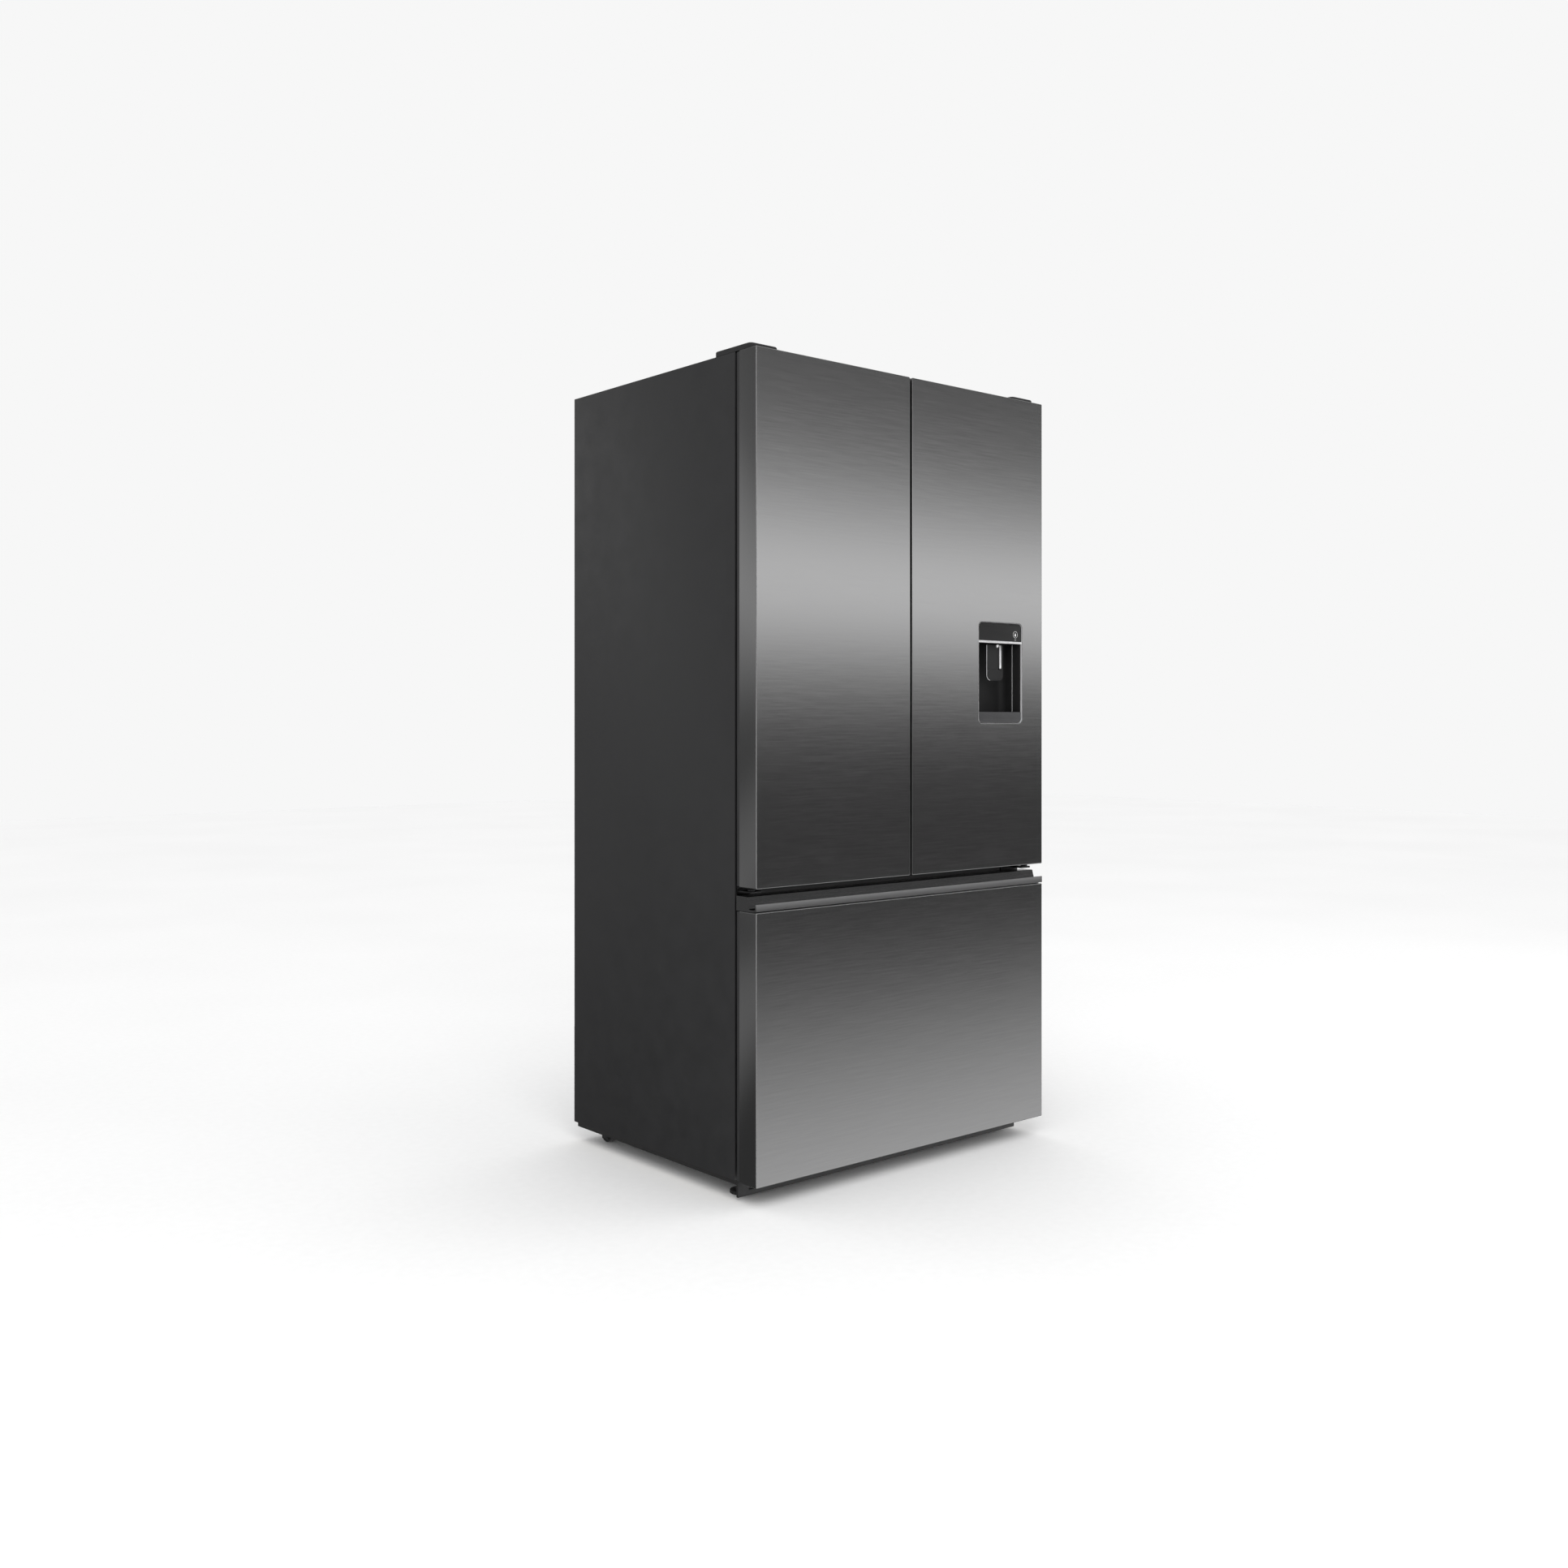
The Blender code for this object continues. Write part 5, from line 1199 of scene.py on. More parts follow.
# %% Ring and cross strip
RING_WIDTH = 0.0018
STRIP_HEIGHT = 0.006
ring_low, ring_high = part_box("dispenser_bezel")
panel_low, panel_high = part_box("dispenser_control_panel")
nozzle_low, nozzle_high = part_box("dispenser_nozzle")
strip_bottom = nozzle_high.z + TOUCHING_GAP
strip_top = strip_bottom + STRIP_HEIGHT
RING_LIP = 0.0003
RING_BEVEL_DEPTH = 0.0030
ring_profile = (
    (0, ring_high.y),
    (0, ring_low.y + RING_LIP),
    (RING_LIP, ring_low.y),
    (2 * RING_LIP, ring_low.y + RING_LIP),
    (RING_WIDTH - RING_LIP, ring_low.y + RING_BEVEL_DEPTH - RING_LIP),
    (RING_WIDTH, ring_low.y + RING_BEVEL_DEPTH),
    (RING_WIDTH, ring_high.y),
)
bright_ring = loft(
    "dispenser_ring",
    [
        standing(
            eased_rectangle((ring_low.x, ring_low.z), (ring_high.x, ring_high.z), WINDOW_CORNER, inset), y,
        )
        for inset, y in ring_profile
    ],
    closed=True,
)
fit(bright_ring, satin_trim, "dispenser_bezel")
strip = bar(
    "dispenser_cross_strip",
    across,
    eased(
        rectangle((ring_low.y + TOUCHING_GAP, strip_bottom), (ring_high.y - TOUCHING_GAP, strip_top)),
        0.0012, 4,
    ),
    (ring_low.x + RING_WIDTH / 2, ring_high.x - RING_WIDTH / 2),
)
fit(strip, satin_trim, body="right_door", slot="bright_trim")
print("bright ring", round(ring_high.x - ring_low.x, 4), "by", round(ring_high.z - ring_low.z, 4))

# %% [markdown]
# The touch panel is one dark plate with a softened front edge. Its only mark is a generic
# one: a drop in a thin circle, and a short dash under it. A drop is a circle whose width is
# pinched towards the top: at angle t its width is sin(t) times a power of sin(t / 2).

# %% Touch panel and its mark
PANEL_CORNER = 0.010
MARK_RADIUS = 0.0080
MARK_LINE = 0.0006
MARK_FROM_RIGHT = 0.0215
MARK_HEIGHT = 0.0160
MARK_DASH = 0.0050

panel_rings = [
    standing(
        eased_rectangle(
            (panel_low.x, panel_low.z), (panel_high.x, panel_high.z), (
                0.001, 0.001, PANEL_CORNER, PANEL_CORNER,
            ), inset
        ),
        y,
    )
    for inset, y in (
        (0.0005, panel_low.y), (0.0001, panel_low.y + 0.0002), (0, panel_low.y + 0.0006), (0, panel_high.y),
    )
]
fit(loft("dispenser_touch_panel", panel_rings), panel_grey, "dispenser_control_panel")

MARK_RISE = 0.00012
MARK_SHEET = 0.0002
DROP_HALF_WIDTH = 0.0032
DROP_HALF_HEIGHT = 0.0042
DROP_PINCH = 1.6
mark_y = panel_low.y - MARK_RISE
mark_x = panel_high.x - MARK_FROM_RIGHT
mark_z = strip_top + MARK_HEIGHT + TOUCHING_GAP
angle = np.linspace(0, 2 * math.pi, 49)[:-1]
circle = np.column_stack([np.cos(angle), np.sin(angle)])


def printed(name, rings_xz, closed):
    """A thin inlay in front of the panel, from outlines in X and Z."""
    if closed:
        outer, inner = rings_xz
        rings = [
            standing(o, y)
            for o, y in (
                (outer, mark_y + MARK_SHEET), (outer, mark_y), (inner, mark_y), (inner, mark_y + MARK_SHEET),
            )
        ]
    else:
        rings = [standing(rings_xz, mark_y), standing(rings_xz, mark_y + MARK_SHEET)]
    piece = loft(name, rings, closed=closed)
    fit(piece, icon_white, body="right_door", slot="dispenser_grey")


centre = np.array((mark_x, mark_z))
printed("mark_circle", (centre + MARK_RADIUS * circle, centre + (MARK_RADIUS - MARK_LINE) * circle), True)
half_width = np.sin(angle) * np.abs(np.sin(angle / 2)) ** DROP_PINCH
drop = np.column_stack([half_width, np.cos(angle)])
printed("mark_drop", centre + drop * (DROP_HALF_WIDTH, DROP_HALF_HEIGHT), False)
dash_low = (mark_x - MARK_DASH / 2, mark_z - MARK_RADIUS - 0.0050)
dash_high = (mark_x + MARK_DASH / 2, mark_z - MARK_RADIUS - 0.0042)
printed("mark_dash", eased_rectangle(dash_low, dash_high, 0.0003, 0, 3), False)
print("touch mark", MARK_RADIUS * 2000, "mm across")

# %% [markdown]
# The well is a black moulding. Seen from above, its wall is a U: straight sides with a small
# step about halfway back, where the deep part of the well begins, and large round corners at
# the rear. The U is drawn once as an outline and carried upwards.

# %% Well
WELL_WALL = 0.003
WELL_STEP_DEPTH = 0.0270
WELL_STEP = 0.0015
WELL_ROUND = 0.016

tray_low, tray_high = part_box("dispenser_drip_tray")
x0, x1 = housing_low.x, housing_high.x
y0, y1 = housing_low.y, housing_high.y
step_y = ring_low.y + WELL_STEP_DEPTH
inner_rear = y1 - WELL_WALL
well_outline = np.array(
    (
        (x0, y0),
        (x0, y1),
        (x1, y1),
        (x1, y0),
        (x1 - WELL_WALL, y0),
        (x1 - WELL_WALL, step_y),
        (x1 - WELL_WALL - WELL_STEP, step_y + WELL_STEP),
        (x1 - WELL_WALL - WELL_STEP, inner_rear),
        (x0 + WELL_WALL + WELL_STEP, inner_rear),
        (x0 + WELL_WALL + WELL_STEP, step_y + WELL_STEP),
        (x0 + WELL_WALL, step_y),
        (x0 + WELL_WALL, y0),
    )
)
small = 0.0005
well_radii = (small, small, small, small, small, small, small, WELL_ROUND, WELL_ROUND, small, small, small)
well = bar("dispenser_well", lying, eased(well_outline, well_radii, 8), (housing_low.z, strip_bottom))
fit(well, well_black, "dispenser_housing")
for name, z0, z1 in (
    ("dispenser_well_roof", strip_bottom + 0.0002, housing_high.z),
    ("dispenser_well_floor", housing_low.z + 0.0002, tray_low.z - 0.0002),
):
    slab = block(name, (x0 + 0.0006, y0 + 0.0002, z0), (x1 - 0.0006, y1 - 0.0006, z1), 0.0012)
    fit(slab, well_black, body="right_door", slot="dispenser_black")
EDGE_LINE = 0.0018
for side, x in (("left", x0 + WELL_WALL), ("right", x1 - WELL_WALL)):
    inward = 1 if side == "left" else -1
    line = turned(
        "well_edge_line_" + side,
        ((EDGE_LINE / 2, tray_high.z), (EDGE_LINE / 2, strip_bottom - TOUCHING_GAP)),
        (x + inward * WELL_STEP * 0.6, step_y + WELL_STEP * 0.2),
        sides=10,
    )
    fit(line, satin_trim, body="right_door", slot="bright_trim")
print("well", round(x1 - x0 - 2 * WELL_WALL, 4), "wide and", round(inner_rear - y0, 4), "deep")

# %% [markdown]
# The drip tray lifts out. Its top is a shallow dish inside a raised rim, with fine bars that
# keep a glass above the drips. A low sill closes the opening in front of it.

# %% Drip tray
TRAY_RIM = 0.003
TRAY_BARS = 9
plan_low, plan_high = (tray_low.x, tray_low.y), (tray_high.x, tray_high.y)
tray_corner = (0.004, 0.004, WELL_ROUND - 0.002, WELL_ROUND - 0.002)
tray_profile = (
    (0.0006, tray_low.z),
    (0, tray_low.z + 0.0006),
    (0, tray_high.z - 0.0010),
    (0.0003, tray_high.z - 0.0003),
    (0.0010, tray_high.z),
    (TRAY_RIM - 0.0008, tray_high.z),
    (TRAY_RIM - 0.0002, tray_high.z - 0.0004),
    (TRAY_RIM, tray_high.z - 0.0012),
    (TRAY_RIM + 0.0006, tray_high.z - 0.0036),
)
tray_inset = WELL_STEP + 0.0002
tray = loft(
    "dispenser_tray_dish",
    [
        lying(eased_rectangle(plan_low, plan_high, tray_corner, tray_inset + inset), z)
        for inset, z in tray_profile
    ],
)
fit(tray, tray_grey, "dispenser_drip_tray")
BARS_FROM_RIM = 0.010
BAR_END = 0.009
BAR_HALF = 0.0012
bars_from = tray_low.x + tray_inset + TRAY_RIM + BARS_FROM_RIM
bars_to = tray_high.x - tray_inset - TRAY_RIM - BARS_FROM_RIM
for i, x in enumerate(np.linspace(bars_from, bars_to, TRAY_BARS)):
    rib = bar(
        f"dispenser_tray_bar_{i + 1}",
        standing,
        eased(
            rectangle((x - BAR_HALF, tray_high.z - 0.0040), (x + BAR_HALF, tray_high.z - 0.0016)), 0.0006, 3,
        ),
        (tray_low.y + BAR_END, tray_high.y - BAR_END),
        0.0008,
    )
    fit(rib, tray_grey, body="right_door", slot="dispenser_grey")
SILL_SETBACK = 0.0016
SILL_SHEET = 0.0020
sill_round = WINDOW_CORNER - RING_WIDTH
SILL_GAP = 0.0001
sill_low = (ring_low.x + RING_WIDTH + SILL_GAP, ring_low.z + RING_WIDTH + SILL_GAP)
sill_high = (ring_high.x - RING_WIDTH - SILL_GAP, tray_high.z + 0.0006)
sill_front = ring_low.y + SILL_SETBACK
sill_rings = [
    standing(eased_rectangle(sill_low, sill_high, (sill_round, sill_round, 0.0008, 0.0008), inset), y)
    for inset, y in (
        (0.0010, sill_front), (0.0003, sill_front + 0.0003), (0, sill_front + 0.0010),
        (0, sill_front + SILL_SHEET),
    )
]
fit(loft("dispenser_sill", sill_rings), tray_grey, body="right_door", slot="dispenser_grey")
print("drip tray with", TRAY_BARS, "bars behind its sill")

# %% [markdown]
# The paddle is a U-shaped plate that hangs from a pin behind the strip. Its edge has a raised
# bead, a crease crosses it, and a bright satin bar runs down it beside the nozzle, with a black
# block under its foot that is painted shade. A thin bright rod follows its left edge and turns
# in below: a painted highlight along that edge. The plate is a grid of points: the width of
# each row follows the U, and the depth is a sum of the bead and the crease.

# %% Paddle
PADDLE_COLUMNS = 41
PADDLE_ROWS = 57
PADDLE_ROUND = 0.014
BEAD_WIDTH = 0.0032
BEAD_RISE = 0.0009
CREASE_FROM_FOOT = 0.026
CREASE_RISE = 0.0008
CREASE_HALF = 0.0012

paddle_low, paddle_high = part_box("dispenser_paddle")
plate_front = paddle_low.y + BEAD_RISE + 0.0002
u = np.linspace(-1, 1, PADDLE_COLUMNS)[None, :]
h = np.linspace(0, 1, PADDLE_ROWS)[:, None]
paddle_height = paddle_high.z - paddle_low.z
z = paddle_low.z + paddle_height * h + 0 * u
half = (paddle_high.x - paddle_low.x) / 2
drop_into_round = np.clip(1 - (z - paddle_low.z) / PADDLE_ROUND, 0, 1)
row_half = half - PADDLE_ROUND * (1 - np.sqrt(1 - drop_into_round**2))
x = (paddle_low.x + paddle_high.x) / 2 + row_half * u
to_edge = np.minimum(row_half * (1 - np.abs(u)), z - paddle_low.z)
bead = BEAD_RISE * np.exp(-(((to_edge - BEAD_WIDTH / 2) / (BEAD_WIDTH / 2.2)) ** 2))
crease = CREASE_RISE * np.exp(
    -(((z - paddle_low.z - CREASE_FROM_FOOT) / CREASE_HALF) ** 2)
) * (to_edge > BEAD_WIDTH)
front = np.stack([x, plate_front - bead - crease, z], axis=-1)
back = np.stack([x, np.full_like(x, paddle_high.y), z], axis=-1)


def plate(name, front, back):
    """Two grids of points back to back, joined round their four edges."""
    rows, columns = front.shape[:2]
    index = np.arange(rows * columns).reshape(rows, columns)
    far = index + rows * columns
    quads = np.stack(
        [index[:-1, :-1], index[:-1, 1:], index[1:, 1:], index[1:, :-1]], axis=-1,
    ).reshape(-1, 4)
    edge = np.concatenate([index[0, :-1], index[:-1, -1], index[-1, :0:-1], index[:0:-1, 0]])
    edge_far = far.ravel()[edge]
    rim = np.stack([edge, np.roll(edge, -1), np.roll(edge_far, -1), edge_far], axis=-1)
    faces = np.concatenate([quads, quads[:, ::-1] + rows * columns, rim])
    mesh = bpy.data.meshes.new(name)
    points = np.concatenate([front.reshape(-1, 3), back.reshape(-1, 3)])
    mesh.from_pydata(points.tolist(), [], faces.tolist())
    return piece_from(name, mesh)


fit(plate("dispenser_paddle_plate", front, back), well_black, "dispenser_paddle")
BAR_WIDTH = 0.0070
BAR_FROM_MIDDLE = 0.0145
BAR_SHADE_PAD = 0.0030
BAR_ABOVE_CREASE = 0.003
bar_x = (paddle_low.x + paddle_high.x) / 2 + BAR_FROM_MIDDLE
bar_foot = paddle_low.z + CREASE_FROM_FOOT + BAR_ABOVE_CREASE
bright_bar = bar(
    "paddle_bright_bar",
    lying,
    eased(rectangle((bar_x, paddle_low.y - 0.0016), (bar_x + BAR_WIDTH, plate_front + 0.001)), 0.0011, 4),
    (bar_foot, paddle_high.z),
    0.0008,
)
fit(bright_bar, satin_trim, body="paddle", slot="bright_trim")
# A black block under the bar's foot: painted shade for the dark spot there.
shade_pad_low = (bar_x - 0.0004, paddle_low.y - 0.0012, bar_foot - BAR_SHADE_PAD)
shade_pad_high = (bar_x + BAR_WIDTH + 0.0004, plate_front + 0.001, bar_foot - TOUCHING_GAP)
fit(block("paddle_bar_shade_pad", shade_pad_low, shade_pad_high, 0.0008), well_black, body="paddle", slot="dispenser_black")
# A bright satin rod up the left edge and partway round the lower corner: a painted highlight.
EDGE_HIGHLIGHT_RADIUS = 0.0008
EDGE_HIGHLIGHT_POINTS = 14
turn = np.linspace(math.pi, 1.45 * math.pi, EDGE_HIGHLIGHT_POINTS)
highlight_y = plate_front - 0.0006
highlight_x = paddle_low.x + PADDLE_ROUND + (PADDLE_ROUND - EDGE_HIGHLIGHT_RADIUS) * np.cos(turn)
highlight_z = paddle_low.z + PADDLE_ROUND + (PADDLE_ROUND - EDGE_HIGHLIGHT_RADIUS) * np.sin(turn)
highlight_route = np.column_stack([highlight_x, np.full(EDGE_HIGHLIGHT_POINTS, highlight_y), highlight_z])
highlight_top = np.array([[paddle_low.x + EDGE_HIGHLIGHT_RADIUS, highlight_y, paddle_high.z - 0.001]])
fit(
    tube("paddle_edge_highlight", np.concatenate([highlight_top, highlight_route]), EDGE_HIGHLIGHT_RADIUS), satin_trim,
    body="paddle", slot="bright_trim",
)
nozzle_centre = ((nozzle_low.x + nozzle_high.x) / 2, (nozzle_low.y + nozzle_high.y) / 2)
NOZZLE_COLLAR = 0.0028
TIP_SHARE = 0.75
TIP_DROP = 0.0035
nozzle_radius = (nozzle_high.x - nozzle_low.x) / 2
collar_foot = nozzle_high.z - NOZZLE_COLLAR
collar = turned(
    "dispenser_nozzle_collar",
    (
        (nozzle_radius, nozzle_high.z), (nozzle_radius, collar_foot + 0.0004),
        (nozzle_radius - 0.0004, collar_foot),
    ),
    nozzle_centre,
    sides=28,
)
fit(collar, well_black, body="right_door", slot="dispenser_black")
tip_radius = TIP_SHARE * nozzle_radius
tip_round = quarter(tip_radius, 0, -75)
tip = turned(
    "dispenser_nozzle_tip",
    [(tip_radius, collar_foot)] + [(r, collar_foot - TIP_DROP + h) for r, h in tip_round],
    nozzle_centre,
    sides=28,
)
fit(tip, icon_white, "dispenser_nozzle")
print("paddle grid", PADDLE_ROWS, "by", PADDLE_COLUMNS)

# %% [markdown]
# ## The cabinet's outside
#
# The cabinet is a folded steel wrap with a powder coat. Its shape is right already, so a copy
# of it only needs its folds rounded. The floor pan, the plinth, the rails and the hinges are
# treated the same way, each with the fold radius of its own sheet.

# %% Softened parts
SOFT_EDGES = (
    ("cabinet_shell", powder_coat, 0.0005),
    ("base_frame", powder_coat, 0.0008),
    ("toe_grille", black_grain, 0.0008),
    ("machine_cover", galvanised, 0.0004),
    ("freezer_duct_cover", white_trim, 0.0008),
    ("top_hinge_left", hinge_black, 0.0006),
    ("top_hinge_right", hinge_black, 0.0006),
    ("middle_hinge_left", hinge_black, 0.0006),
    ("middle_hinge_right", hinge_black, 0.0006),
    ("outer_rail_left", zinc, 0.0004),
    ("outer_rail_right", zinc, 0.0004),
    ("middle_rail_left", zinc, 0.0004),
    ("middle_rail_right", zinc, 0.0004),
    ("inner_rail_left", zinc, 0.0008),
    ("inner_rail_right", zinc, 0.0008),
    ("condenser_fan", black_grain, 0.0004),
)
for node, finish, width in SOFT_EDGES:
    fit(softened(node, width), finish, node)
repaint(foam, "insulation_body")
repaint(fin_metal, "evaporator_coil")
print("softened", len(SOFT_EDGES), "parts")

# %% [markdown]
# ## Hinge covers and bushings
#
# Each top hinge has a moulded cap with a generous round along its top edge and a thin wall.
# The doors turn on pins, and a pin runs in a plastic bushing with a small flange that shows
# at the door's lower edge.

# %% Covers and bushings
COVER_WALL = 0.002
COVER_ROUND = 0.0035
COVER_CORNER = 0.011
for side in ("left", "right"):
    node = "top_hinge_cover_" + side
    low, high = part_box(node)

    def cap(inset, z):
        return lying(eased_rectangle((low.x, low.y), (high.x, high.y), COVER_CORNER, inset, 8), z)

    rings = [cap(COVER_WALL, high.z - COVER_WALL), cap(COVER_WALL, low.z), cap(0, low.z)]
    for inset, rise in quarter(COVER_ROUND, 180, 90):
        rings.append(cap(COVER_ROUND + inset, high.z - COVER_ROUND + rise))
    fit(loft(node + "_moulded", rings), black_grain, node)

BUSHING_RADIUS = 0.0095
BUSHING_BORE = 0.0056
BUSHING_FLANGE = 0.0010
PIN_FROM_EDGE = 0.020
PIN_FROM_FACE = 0.040
for side, sign in (("left", -1), ("right", 1)):
    door_low, door_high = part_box(side + "_door_skin")
    outer = door_low.x if sign < 0 else door_high.x
    centre = (outer - sign * PIN_FROM_EDGE, door_low.y + PIN_FROM_FACE)
    for place, z in (("lower", door_low.z), ("upper", door_high.z + BUSHING_FLANGE)):
        flange = turned(
            f"{side}_door_{place}_bushing",
            ((BUSHING_BORE, z), (BUSHING_RADIUS - 0.0002, z), (BUSHING_RADIUS, z - 0.0003),
             (BUSHING_RADIUS - 0.0003, z - BUSHING_FLANGE), (BUSHING_BORE, z - BUSHING_FLANGE)),
            centre,
        )
        fit(flange, black_grain, body=side + "_door", slot="black_plastic")
print("hinge covers and door bushings made")

# %% [markdown]
# ## Inside the compartments
#
# The two liners are vacuum-formed: sheets of white plastic pulled into a mould. Every inner
# corner is a large round, and the front edge rolls over onto the steel. Each liner is a row of
# rings from back to front outside, over the front edge, and back down inside. In the freezer
# the floor climbs over the machine room, so there the rings' lower edge follows that step.

# %% Liner boxes
LINER_SHEET = 0.002
LINER_LIP = 0.0008
LINER_REAR_ROUND = 0.006
LINER_EDGE_ROUND = 0.012
STEP_ROUND = 0.012
BASKET_TO_STEP = 0.008

room_low, room_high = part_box("fridge_liner")
cold_low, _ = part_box("freezer_liner")
step_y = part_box("freezer_basket")[1].y + BASKET_TO_STEP
step_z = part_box("freezer_duct_cover")[0].z - TOUCHING_GAP


def formed_liner(node, climb=()):
    """Rings outside, over the lip and inside. climb lists depth and floor height along a step."""
    low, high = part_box(node)
    sheet, lip = LINER_SHEET, LINER_LIP

    def ring(inset, y, floor):
        outline = rectangle((low.x + inset, floor), (high.x - inset, high.z - inset))
        return standing(eased(outline, max(LINER_EDGE_ROUND - inset, 0.001), 5), y)

    floor = low.z + sheet
    rear_floor = climb[-1][1] if climb else floor
    outside = [(0, high.y, rear_floor - sheet)]
    outside += [(0, y + sheet, z - sheet) for y, z in reversed(climb)]
    outside += [(0, low.y + lip, low.z)]
    rolled = [(0.2 * lip, low.y + 0.3 * lip, low.z + 0.2 * lip), (lip, low.y, low.z + lip)]
    rolled += [(sheet - 0.2 * lip, low.y + 0.3 * lip, floor - 0.2 * lip)]
    inside = [(sheet, low.y + lip, floor)] + [(sheet, y, z) for y, z in climb]
    rear = high.y - sheet - LINER_REAR_ROUND
    for inset, reach in quarter(LINER_REAR_ROUND, 180, 90) + (LINER_REAR_ROUND, 0):
        inside.append((sheet + inset, rear + reach, rear_floor + inset))
    fit(loft(node + "_formed", [ring(*step) for step in outside + rolled + inside]), white_liner, node)


formed_liner("fridge_liner")
up = np.radians(np.linspace(0, 90, ROUND_STEPS + 1))
cold_floor = cold_low.z + LINER_SHEET
climb = list(zip(step_y - STEP_ROUND * (1 - np.sin(up)), cold_floor + STEP_ROUND * (1 - np.cos(up))))
climb += list(zip(step_y + STEP_ROUND * (1 - np.cos(up)), step_z - STEP_ROUND * (1 - np.sin(up))))
formed_liner("freezer_liner", climb)
print("liners formed; the freezer floor climbs", round(step_z - cold_floor, 3), "m over the machine room")

# %% [markdown]
# Small moulded ledges on the side walls carry the glass shelves, and a long diffuser in the
# roof covers the lights.

# %% Ledges and roof light
LEDGE_WIDTH = 0.0075
LEDGE_HEIGHT = 0.007
LOW_LEDGE_HEIGHT = 0.003
wall = room_high.x - LINER_SHEET
for node, height in (
    ("crisper_cover", LOW_LEDGE_HEIGHT), ("middle_shelf", LEDGE_HEIGHT), ("upper_shelf", LEDGE_HEIGHT),
):
    low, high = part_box(node)
    top = low.z - TOUCHING_GAP
    for side, sign in (("left", -1), ("right", 1)):
        near, far = sorted((sign * (wall - LEDGE_WIDTH), sign * (wall + 0.001)))
        outline = eased(rectangle((near, top - height), (far, top)), 0.0012, 4)
        ledge = bar(f"{node}_ledge_{side}", standing, outline, (low.y - 0.004, high.y), 0.002)
        fit(ledge, white_liner, body="cabinet", slot="white_liner")

LIGHT_HALF = 0.110
LIGHT_DEPTH = 0.050
LIGHT_DROP = 0.005
roof = room_high.z - LINER_SHEET
light_front = room_low.y + 0.110
lens = block(
    "roof_light_lens",
    (-LIGHT_HALF, light_front, roof - LIGHT_DROP),
    (LIGHT_HALF, light_front + LIGHT_DEPTH, roof + 0.001),
    0.0035,
)
fit(lens, frosted, body="cabinet", slot="frosted_basket")
print("six ledges and a roof light lens")

# %% [markdown]
# A shelf is a 4 mm pane of toughened glass held in a slim frame. The frame's front bar is a
# bright moulding, because it is what one sees; the sides and rear are white. From the edge
# the pane looks green.

# %% Shelves
PANE = 0.004
SHELF_FRAME = 0.011
SHELF_CORNER = 0.004


def shelf(node, dividers=0):
    low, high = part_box(node)
    plan_low, plan_high = (low.x, low.y), (high.x, high.y)
    section = ((0.0004, low.z), (0, low.z + 0.0006), (0, high.z - 0.0010), (0.0010, high.z),
               (SHELF_FRAME - 0.0012, high.z), (SHELF_FRAME, high.z - 0.0012), (SHELF_FRAME, low.z))
    rings = [lying(eased_rectangle(plan_low, plan_high, SHELF_CORNER, inset, 4), z) for inset, z in section]
    fit(loft(node + "_frame", rings, closed=True), white_trim, node)
    pane_low = (low.x + SHELF_FRAME - 0.002, low.y + SHELF_FRAME - 0.002, high.z - 0.0012 - PANE)
    pane_high = (high.x - SHELF_FRAME + 0.002, high.y - SHELF_FRAME + 0.002, high.z - 0.0012)
    fit(block(node + "_pane", pane_low, pane_high, 0.0012), shelf_glass, body="cabinet", slot="shelf_glass")
    nose = rectangle((low.y - 0.0010, low.z + 0.0010), (low.y + 0.004, high.z - 0.0010))
    front = bar(node + "_front", across, eased(nose, 0.0014, 4), (low.x + 0.006, high.x - 0.006), 0.001)
    fit(front, zinc, body="cabinet", slot="bright_trim")
    for i in range(dividers):
        x = low.x + (i + 1) * (high.x - low.x) / (dividers + 1)
        outline = eased(rectangle((x - 0.008, low.z), (x + 0.008, high.z)), 0.001, 3)
        rib = bar(f"{node}_divider_{i + 1}", standing, outline, (low.y + SHELF_FRAME, high.y - SHELF_FRAME))
        fit(rib, white_trim, body="cabinet", slot="white_liner")


shelf("upper_shelf")
shelf("middle_shelf")
shelf("crisper_cover", dividers=1)
print("shelves: panes", PANE * 1000, "mm thick")

# %% [markdown]
# Cold air comes down behind a moulded cover on the rear wall and leaves through slots. The
# cover's front is softly crowned, which is the same outline drawn in a little at the front.
# Each slot is a black inlay in a raised rim: painted shade for the dark inside of a deep slot.

# %% Air duct cover
low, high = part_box("fridge_duct_cover")
DUCT_CORNER = 0.020
DUCT_ROUND = 0.010
duct_rings = [standing(eased_rectangle((low.x, low.z), (high.x, high.z), DUCT_CORNER), high.y)]
for inset, reach in quarter(DUCT_ROUND, 180, 90):
    y = low.y + 0.0012 + DUCT_ROUND - reach
    duct_rings.append(
        standing(eased_rectangle((low.x, low.z), (high.x, high.z), DUCT_CORNER, DUCT_ROUND + inset), y)
    )
fit(loft("duct_cover_moulded", duct_rings), white_liner, "fridge_duct_cover")
front = low.y + 0.0012
SLOT_LENGTH = 0.058
SLOT_HEIGHT = 0.006
SLOT_RIM = 0.0016
SLOTS_IN_GROUP = 4
groups = [(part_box(a)[1].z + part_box(b)[0].z) / 2 + 0.05 for a, b in (
    ("crisper_cover", "middle_shelf"), ("middle_shelf", "upper_shelf"))] + [high.z - 0.080]
